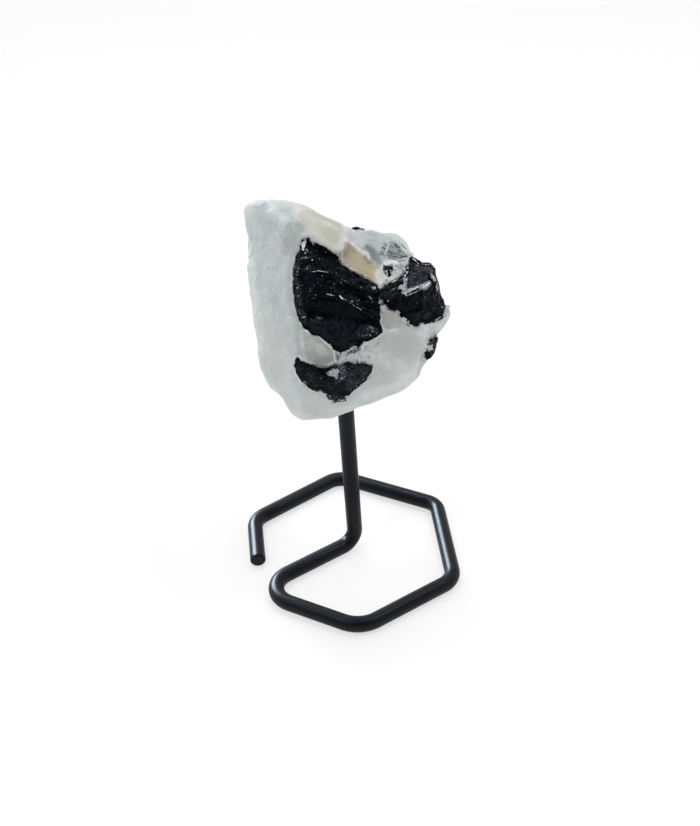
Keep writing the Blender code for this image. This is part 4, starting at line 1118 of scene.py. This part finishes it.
    # The skin, and the light that spreads under it
    feed(tree, shader.inputs["Roughness"], mapped(tree, grain, 0.25, 0.75, 0.48, 0.62))
    dents = noise_of(tree, where, DENT_SIZE, 4, 0.6, 0.3)
    soft = bump(tree, dents, 0.0003, 0.4)
    cracked = times(tree, shards, maths(tree, "MAXIMUM", rubble, inside("crumbled", 0.3)))
    soft = bump(tree, maths(tree, "SUBTRACT", 1.0, maths(tree, "MAXIMUM", cracked, dark)), 0.00025, 0.5, soft)
    feed(tree, shader.inputs["Normal"], bump(tree, frost, 0.00009, 0.35, soft))
    shader.inputs["IOR"].default_value = QUARTZ_IOR
    shader.inputs["Specular IOR Level"].default_value = 0.01
    shader.inputs["Subsurface Weight"].default_value = 0.45
    shader.inputs["Subsurface Radius"].default_value = (0.95, 1.0, 1.05)
    shader.inputs["Subsurface Scale"].default_value = settings.depth_of_light
    shader.inputs["Transmission Weight"].default_value = 0.25
    return material


def search_tree(obj):
    """An object's surface on the stone's axes, to cast rays at and find the nearest place on."""
    bm = bmesh.new()
    bm.from_mesh(obj.data)
    bm.transform(STONE_POSE.inverted())
    tree = BVHTree.FromBMesh(bm)
    bm.free()
    return tree


class MakeQuartz(bpy.types.Operator):
    """Shapes and finishes the rough lump of milky quartz"""

    bl_idname = "quartz.make_quartz"
    bl_label = "Make Quartz"

    def execute(self, context):
        noise.seed_set(NOISE_SEEDS["quartz"])
        settings = context.scene.quartz_model.quartz
        material = make_quartz_material(settings)
        bm = joined_solid("quartz")
        for node in CRYSTAL_FACING:
            crystal = joined_solid(node)
            swell(crystal, POCKET_GAP * MM)
            mesh = bpy.data.meshes.new(node)
            crystal.to_mesh(mesh)
            crystal.free()
            bm.from_mesh(mesh)
        quartz = remeshed("quartz_detail", bm, settings.mesh_size)
        quartz.data.materials.clear()
        quartz.data.materials.append(material)
        surface = Surface(quartz)
        surface.remember_home()
        crisp = self.crisp_areas(surface.points)
        surface.smooth(EVEN_ROUNDS)
        across = beyond(np.abs(surface.spread(surface.normals()[:, 2], 6)), 0.45, 0.3)
        surface.smooth(FACE_ROUNDS, across * (1 - 0.6 * crisp))
        surface.smooth(BROAD_ROUNDS, (1 - crisp) * surface.spread(across, 10))
        self.fill_outline(surface)
        self.break_surface(surface)
        # The finish paints shade into the hollows and a highlight onto the ridges
        surface.paint("hollow", np.clip(surface.hollowness(HOLLOW_ROUNDS) / 0.55, -1, 1))
        surface = self.refined_at_crystals(quartz)
        near = self.sink_under_crystals(surface)
        surface.write()
        self.paint_areas(surface, near)
        surface.forget_home()
        quartz.data.shade_smooth()
        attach(quartz, BODY)
        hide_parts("quartz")
        return {"FINISHED"}

    def crisp_areas(self, points):
        """1 where the stone keeps its sharp ledges, 0 where its faces are broad and soft."""
        return 0.92 * np.max([area(points, AREAS[name], 2.6) for name in CRISP_AREAS], axis=0)

    def fill_outline(self, surface):
        """Moves the stone's edge out again after the smoothing has drawn it in."""
        outward = surface.normals()
        edge = np.clip(1.3 - 1.6 * np.abs(outward[:, 2]), 0, 1)
        surface.points[:, :2] += EDGE_OUT * edge[:, None] * outward[:, :2]
        x, y = surface.points[:, 0], surface.points[:, 1]
        surface.points[:, 0] -= LEFT_OUT * beyond(-x, LEFT_END, 5)
        up = TOP_OUT * beyond(y, TOP_END, 5) * (x < -1)
        down = FOOT_OUT * beyond(-y, FOOT_END, 4)
        surface.points[:, 1] += up - down
        nudge(surface, NUDGES["quartz"])
        behind = surface.points[:, 2] < 0
        surface.points[:, 1] -= TOP_CLEARED * top_shows(x) * beyond(y, 18.3, 0.9) * behind

    def break_surface(self, surface):
        """Broad broken planes, then lumps, then crests and rubble."""
        points = surface.points
        back = beyond(-points[:, 2], 3, 4)
        heights = (0.03 + 0.1 * back) * chips(points, 4.6, 11.0)
        heights += (0.08 + 0.08 * back) * layered_noise(points, 3.6, 5.0, 5)
        rough = np.nonzero(back > 0.01)[0]
        heights[rough] += 0.09 * back[rough] * chips(points[rough], 1.8, 6.0)
        broken = area(points, AREAS["crumbled"], 1.2) + 0.6 * area(points, AREAS["rubble"], 1.5)
        broken = np.maximum(broken, 0.35 * area(points, AREAS["ledge_cream"], 1.0))
        broken *= points[:, 2] > FRONT_REACHES
        facing = np.clip(surface.normals()[:, 2] * 2, 0, 1)
        rough = np.nonzero(broken * facing > 0.01)[0]
        heights[rough] += (broken * facing)[rough] * 0.5 * chips(points[rough], 1.0, 2.0)
        where = wandering(points, (1.3, 0.3), (0.6, 0.14))
        for line, half, height in CRESTS:
            away = line_distance(where, line)[0]
            heights += facing * height * hump(away, half)
        place, radius, depth = CREVICE
        heights -= depth * facing * hump(np.hypot(*(points[:, :2] - place).T), radius)
        surface.push(heights)

    def refined_at_crystals(self, quartz):
        """The stone's surface with finer points along the crystals' edges."""
        for _ in range(2):
            surface = Surface(quartz)
            shell = self.crystal_shell(surface)
            first, second = surface.edges.T
            border = np.zeros(len(shell))
            border[surface.edges[shell[first] != shell[second]]] = 1
            border = surface.spread(border, 1) > 0
            bm = bmesh.new()
            bm.from_mesh(surface.mesh)
            bm.edges.ensure_lookup_table()
            chosen = [bm.edges[i] for i in np.nonzero(border[first] & border[second])[0]]
            bmesh.ops.subdivide_edges(bm, edges=chosen, cuts=1, use_grid_fill=True)
            bm.to_mesh(surface.mesh)
            bm.free()
        return Surface(quartz)

    def crystal_shell(self, surface):
        """Which points lay on a crystal at first, and not on the stone itself."""
        stone = search_tree(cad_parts["quartz"])
        homes = surface.home().tolist()
        return np.array([stone.find_nearest(Vector(home), OWN_SURFACE)[0] is None for home in homes])

    def sink_under_crystals(self, surface):
        """Lowers the surface where a crystal shows, so that the crystal's own mesh covers it.

        Returns the distance from each point to the nearest crystal, up to FAR_FROM_CRYSTALS.
        """
        shell = surface.spread(self.crystal_shell(surface), 8)
        border = np.abs(surface.spread(shell, 3) - 0.5) < 0.45
        shell = shell > 0.5
        trees = []
        for node, facing in CRYSTAL_FACING.items():
            detail = search_tree(bpy.data.objects[node + "_detail"])
            trees.append((detail, Vector(facing).normalized(), node != "tourmaline_chip"))
        distances = np.full(len(surface.points), FAR_FROM_CRYSTALS)
        covered = edge_distance(wandering(surface.points, (0.8, 0.2)), COVERED) > 0
        for i, point in enumerate(surface.points.tolist()):
            here = Vector(point)
            reach = FAR_FROM_CRYSTALS
            for tree, outward, rimmed in trees:
                nearest, normal, _, away = tree.find_nearest(here, FAR_FROM_CRYSTALS)
                if nearest is None:
                    continue
                if rimmed:
                    distances[i] = min(distances[i], away)
                if covered[i]:
                    continue
                hit = tree.ray_cast(here + outward * RAY_START, -outward)[0]
                if hit is not None and -SINK_BELOW < (here - hit).dot(outward) < SINK_ABOVE:
                    surface.points[i] = hit - outward * SINK_DEPTH
                elif shell[i] and away < reach:
                    surface.points[i] = nearest - normal * SINK_DEPTH
                    reach = away
        surface.smooth(3, border)
        return distances

    def paint_areas(self, surface, near):
        """Stores what the finish reads: the front, the bands, the areas and the marks."""
        points = surface.points
        normals = surface.normals()
        surface.paint("front", beyond(normals[:, 2], -0.25, 0.4) * (points[:, 2] > FRONT_REACHES))
        surface.paint("crystal_distance", near)
        where = wandering(points, (2.2, 0.3), (0.8, 0.15))
        # Bands of painted shade and painted light, partly clearer and paler quartz, of warm quartz and of
        # deep painted shade
        for name, bands in (("shade", SHADE_AND_CLEAR_BANDS), ("light", LIGHT_AND_PALE_BANDS), ("warm", WARMS), ("deep_shade", DEEP_SHADE_BANDS)):
            surface.paint(name, band_strength(where, bands) * (normals[:, 2] > -0.3))
        for name, outlines in AREAS.items():
            surface.paint(name, np.clip(inside_distance(where, outlines), -3, 3))
        x, y = (points[:, :2] - FAN_CORNER).T
        surface.paint("fan_turn", np.arctan2(y, -x))
        surface.paint("fan_reach", np.hypot(x, y))
        where = wandering(points, (0.9, 0.12))
        marks = {"white_marks": WHITE_MARKS + dots(WHITE_DOTS), "dark_marks": DARK_MARKS + dots(DARK_DOTS)}
        for name, lines in marks.items():
            surface.paint(name, np.clip(mark_distance(where, lines), -1, 2))


def make_tourmaline_material(settings):
    """Black glossy tourmaline with slate faces and pale film, both partly painted sheen, and small painted
    glints.
    """
    material, tree, shader, where = new_material("black_tourmaline")
    patches = noise_of(tree, where, PATCH_SIZE, 3, 0.6)
    fine = noise_of(tree, where, FINE_SIZE, 4, 0.7)
    flakes = noise_of(tree, where, FLAKE_SIZE, 3, 0.6)
    blue = [settings.black_colour[0] * 1.4, settings.black_colour[1] * 1.5, settings.black_colour[2] * 2.2]
    colour = mixed(tree, mapped(tree, patches, 0.35, 0.65), settings.black_colour, blue)
    # Slate faces: partly duller broken faces, partly a painted sheen on smooth facets
    slate_and_sheen = times(tree, attribute(tree, "slate_and_sheen"), mapped(tree, flakes, 0.34, 0.64, 0.1, 1.6))
    colour = mixed(tree, slate_and_sheen, colour, settings.slate_and_sheen_colour)
    # Pale film and painted sheen on some faces, and the painted highlight lines
    edge = maths(tree, "ADD", attribute(tree, "film_and_sheen"), around(tree, flakes, 0.16))
    film_and_sheen = mapped(tree, edge, -0.05, 0.14)
    drawn = stretched(tree, where, (0.2, 0.4, 0.9), (1.0, 3.0, 1.0))
    streaks = noise_of(tree, drawn, STREAK_SIZE, 3, 0.7)
    streaky = times(tree, film_and_sheen, mapped(tree, streaks, 0.36, 0.62, 0.15, 1.0))
    colour = mixed(tree, streaky, colour, settings.film_and_sheen_colour)
    # Painted glints: highlights painted in the glint colour on edges, points and small specks
    away = maths(tree, "ADD", attribute(tree, "glint"), around(tree, fine, 0.05))
    glint = mapped(tree, away, -0.04, 0.05, 1.0, 0.0)
    grains = add_node(tree, "ShaderNodeTexVoronoi", Vector=where, Scale=1 / SPECK_SIZE)
    chosen = add_node(tree, "ShaderNodeSeparateColor", Color=grains.outputs["Color"]).outputs
    chance = times(tree, mapped(tree, chosen["Red"], 0.86, 1.0), attribute(tree, "glint_speckle"))
    speck_glint = times(tree, mapped(tree, grains.outputs["Distance"], 0.1, 0.28, 1.0, 0.0), chance)
    glint = maths(tree, "MAXIMUM", glint, times(tree, speck_glint, 0.5))
    colour = mixed(tree, glint, colour, settings.glint_colour)
    feed(tree, shader.inputs["Base Color"], colour)
    gloss = mapped(tree, patches, 0.35, 0.7, 0.05, 0.14)
    dull = maths(tree, "MAXIMUM", streaky, slate_and_sheen)
    feed(tree, shader.inputs["Roughness"], maths(tree, "ADD", gloss, times(tree, dull, 0.3)))
    feed(tree, shader.inputs["Normal"], bump(tree, fine, 0.00005, 0.4))
    shader.inputs["IOR"].default_value = TOURMALINE_IOR
    shader.inputs["Specular IOR Level"].default_value = 0.035
    return material


def make_crystal(name, settings, material, shape):
    """Turns a crystal's CAD solid into a fine mesh, shaped by a function of its surface."""
    solid = joined_solid(name)
    swell(solid, CRYSTAL_SWELL * MM)
    crystal = remeshed(name + "_detail", solid, settings.mesh_size)
    crystal.data.materials.clear()
    crystal.data.materials.append(material)
    surface = Surface(crystal)
    surface.smooth(CRYSTAL_ROUNDS)
    shape(surface, name)
    surface.write()
    crystal.data.shade_smooth()
    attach(crystal, BODY)
    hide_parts(name)


def add_steps(surface, steps):
    """Raises the ground below each line, which leaves a small cliff along it that faces up."""
    heights = np.zeros(len(surface.points))
    for line, height in steps:
        distance, side = line_distance(surface.points, line)
        below = np.where(side < 0, hump(distance, STEP_RUN), np.exp(-distance / STEP_CLIFF))
        heights += height * below * (distance < STEP_REACH)
    surface.points[:, 2] += heights


def shape_broken(surface, name):
    """Gives a crystal its ragged outline and broken front."""
    nudge(surface, NUDGES.get(name, ()))
    surface.points[:, :2] = wandering(surface.points, (1.8, 0.28), (0.7, 0.1))[:, :2]
    if name == "tourmaline_side":
        under = np.clip(edge_distance(surface.points, COVERED) / 0.4, 0, 1)
        surface.points -= COVERED_DEPTH * under[:, None] * np.array(Vector(CRYSTAL_FACING[name]).normalized())
    add_steps(surface, STEPS.get(name, ()))
    points = surface.points
    lively = 1 - 0.85 * area(points, CALM, 1.2)
    face = np.clip((surface.normals()[:, 2] - 0.2) / 0.4, 0.25, 1)
    heights = np.zeros(len(points))
    for size, height, least, stretch, seed in CRYSTAL_CHIPS:
        heights += (least + (1 - least) * lively) * height * chips(points, size, seed, stretch)
    surface.push(heights * face)
    paint_crystal(surface)


def paint_crystal(surface):
    """Stores what the finish reads: the pale film, the slate faces, their painted sheen, and the painted
    glints and specks.
    """
    points = surface.points
    front = surface.normals()[:, 2] > -0.2
    where = wandering(points, (1.2, 0.2), (0.5, 0.12))
    film_and_sheen = np.maximum(inside_distance(where, FILM_AND_SHEEN_PATCHES), -mark_distance(where, HIGHLIGHT_LINES))
    surface.paint("film_and_sheen", np.where(front, np.clip(film_and_sheen, -2, 2), -2))
    # Where the small painted glint specks appear
    surface.paint("glint_speckle", (1 - area(where, CALM, 1.0)) * (where[:, 0] < SPECKLED_TO) + 0.15)
    slate_and_sheen = np.max([strength * area(where, (outline,), 0.7) for outline, strength in SLATE_AND_SHEEN_PATCHES], axis=0)
    surface.paint("slate_and_sheen", slate_and_sheen * front)
    glints = np.clip(mark_distance(wandering(points, (0.9, 0.1)), GLINTS + dots(GLINT_DOTS)), -1, 2)
    surface.paint("glint", np.where(front, glints, 2))


def top_shows(x):
    """1 on the spans where the crystal behind the top edge shows above the stone."""
    return np.max([np.clip(np.minimum(x - start, end - x) / 1.1, 0, 1) for start, end in TOP_SHOWS], axis=0)


def shape_top(surface, name):
    """Lowers the crystal's front edge, apart from the spans where it shows above the stone."""
    x, y = surface.points[:, :2].T
    surface.points[:, 1] -= (TOP_LOWERED - TOP_LOWERED * top_shows(x)) * beyond(y, 17.5, 1.5)
    shape_broken(surface, name)


class MakeTourmaline(bpy.types.Operator):
    """Shapes and finishes the six black tourmaline crystals"""

    bl_idname = "quartz.make_tourmaline"
    bl_label = "Make Tourmaline"

    def execute(self, context):
        settings = context.scene.quartz_model.tourmaline
        material = make_tourmaline_material(settings)
        for name in CRYSTAL_FACING:
            noise.seed_set(NOISE_SEEDS[name])
            make_crystal(name, settings, material, shape_top if name == "tourmaline_top" else shape_broken)
        return {"FINISHED"}


# The stage
CAMERA_PLACE = (-0.0205, -0.2148, 0.1967)
CAMERA_TURN = (math.radians(54.82), 0.0, math.radians(-5.36))
CAMERA_LENS = 47.94

# The middle of the surroundings' dim side
DIM_SIDE = (0.0, -0.8, 0.6)

# What the softboxes light, and each one's direction from there, distance, size and brightness
LIT_PLACE = (0.0, 0.0, 0.07)
SOFTBOXES = {
    "left_window": ((-0.53, 0.73, 0.43), 0.7, 0.36, 50.0),
    "top_softbox": ((0.1, 0.45, 0.88), 0.7, 0.3, 1.5),
    "left_lamp": ((-0.45, -0.35, 0.82), 0.7, 0.035, 180.0),
    "right_lamp": ((0.45, 0.0, 0.89), 0.7, 0.035, 180.0),
    "back_lamp": ((-0.1, 0.35, 0.93), 0.7, 0.035, 150.0),
}


def add_softbox(name, direction, distance, size, radiance):
    """Adds a square lamp that faces the object."""
    light = bpy.data.lights.new(name, "AREA")
    light.shape = "SQUARE"
    light.size = size
    light.energy = radiance * math.pi * size * size
    lamp = bpy.data.objects.new(name, light)
    bpy.context.scene.collection.objects.link(lamp)
    towards = Vector(direction).normalized()
    lamp.location = Vector(LIT_PLACE) + towards * distance
    lamp.rotation_euler = towards.to_track_quat("Z", "Y").to_euler()
    return lamp


def make_surroundings(settings):
    """A white room with one dim side, which the black faces towards the front mirror."""
    world = bpy.data.worlds.new("studio")
    world.use_nodes = True
    tree = world.node_tree
    way = add_node(tree, "ShaderNodeTexCoord").outputs["Generated"]
    facing = add_node(tree, "ShaderNodeVectorMath", {"operation": "DOT_PRODUCT"})
    tree.links.new(way, facing.inputs[0])
    facing.inputs[1].default_value = Vector(DIM_SIDE).normalized()
    height = add_node(tree, "ShaderNodeSeparateXYZ", Vector=way).outputs["Z"]
    dim = times(tree, mapped(tree, facing.outputs["Value"], 0.35, 0.9), mapped(tree, height, 0.06, 0.3))
    strength = mapped(tree, dim, 0.0, 1.0, settings.surround, settings.dim_side)
    background = tree.nodes["Background"]
    background.inputs["Color"].default_value = (1.0, 1.0, 1.0, 1)
    feed(tree, background.inputs["Strength"], strength)
    return world


class MakeStage(bpy.types.Operator):
    """Adds the pale floor, the soft lights and the camera"""

    bl_idname = "quartz.make_stage"
    bl_label = "Make Stage"

    def execute(self, context):
        settings = context.scene.quartz_model.studio
        scene = context.scene
        self.add_floor(settings)
        scene.world = make_surroundings(settings)
        for name, facts in SOFTBOXES.items():
            lamp = add_softbox(name, *facts)
            # The window is seen in highlights only
            if name == "left_window":
                lamp.visible_diffuse = False
                lamp.visible_transmission = False
                lamp.data.color = settings.window_colour
        lens = bpy.data.cameras.new("camera")
        lens.lens = CAMERA_LENS
        lens.clip_start = 0.01
        camera = bpy.data.objects.new("camera", lens)
        camera.location = CAMERA_PLACE
        camera.rotation_euler = CAMERA_TURN
        scene.collection.objects.link(camera)
        scene.camera = camera
        scene.view_settings.view_transform = "Standard"
        return {"FINISHED"}

    def add_floor(self, settings):
        """Adds a floor that glows a little, which softens the shadows."""
        bm = bmesh.new()
        bmesh.ops.create_grid(bm, x_segments=4, y_segments=4, size=settings.floor_size / 2)
        mesh = bpy.data.meshes.new("floor")
        bm.to_mesh(mesh)
        bm.free()
        material, tree, shader, _ = new_material("pale_floor")
        feed(tree, shader.inputs["Base Color"], settings.floor_colour)
        shader.inputs["Roughness"].default_value = 0.9
        shader.inputs["Specular IOR Level"].default_value = 0.0
        shader.inputs["Emission Strength"].default_value = settings.floor_glow
        feed(tree, shader.inputs["Emission Color"], (1.0, 1.0, 1.0))
        add_object("floor", mesh, material)


OPERATORS = (MakeStand, MakeTourmaline, MakeQuartz, MakeStage)


class ModelPanel(bpy.types.Panel):
    """Lists the steps that build the model"""

    bl_idname = "VIEW3D_PT_quartz_model"
    bl_label = "Quartz on a Stand"
    bl_space_type = "VIEW_3D"
    bl_region_type = "UI"
    bl_category = "Quartz"

    def draw(self, context):
        settings = context.scene.quartz_model
        for operator, group in zip(OPERATORS, ("stand", "tourmaline", "quartz", "studio")):
            box = self.layout.box()
            for name in getattr(settings, group).__annotations__:
                box.prop(getattr(settings, group), name)
            box.operator(operator.bl_idname)


SETTINGS = (StandSettings, QuartzSettings, TourmalineSettings, StudioSettings, ModelSettings)
CLASSES = (*SETTINGS, *OPERATORS, ModelPanel)


def register():
    for item in CLASSES:
        bpy.utils.register_class(item)
    bpy.types.Scene.quartz_model = PointerProperty(type=ModelSettings)


def unregister():
    del bpy.types.Scene.quartz_model
    for item in reversed(CLASSES):
        bpy.utils.unregister_class(item)


def main():
    """Builds everything. The stone comes after the crystals, because it is sunk under them."""
    register()
    bpy.ops.quartz.make_stand()
    bpy.ops.quartz.make_tourmaline()
    bpy.ops.quartz.make_quartz()
    bpy.ops.quartz.make_stage()


if __name__ == "__main__":
    main()
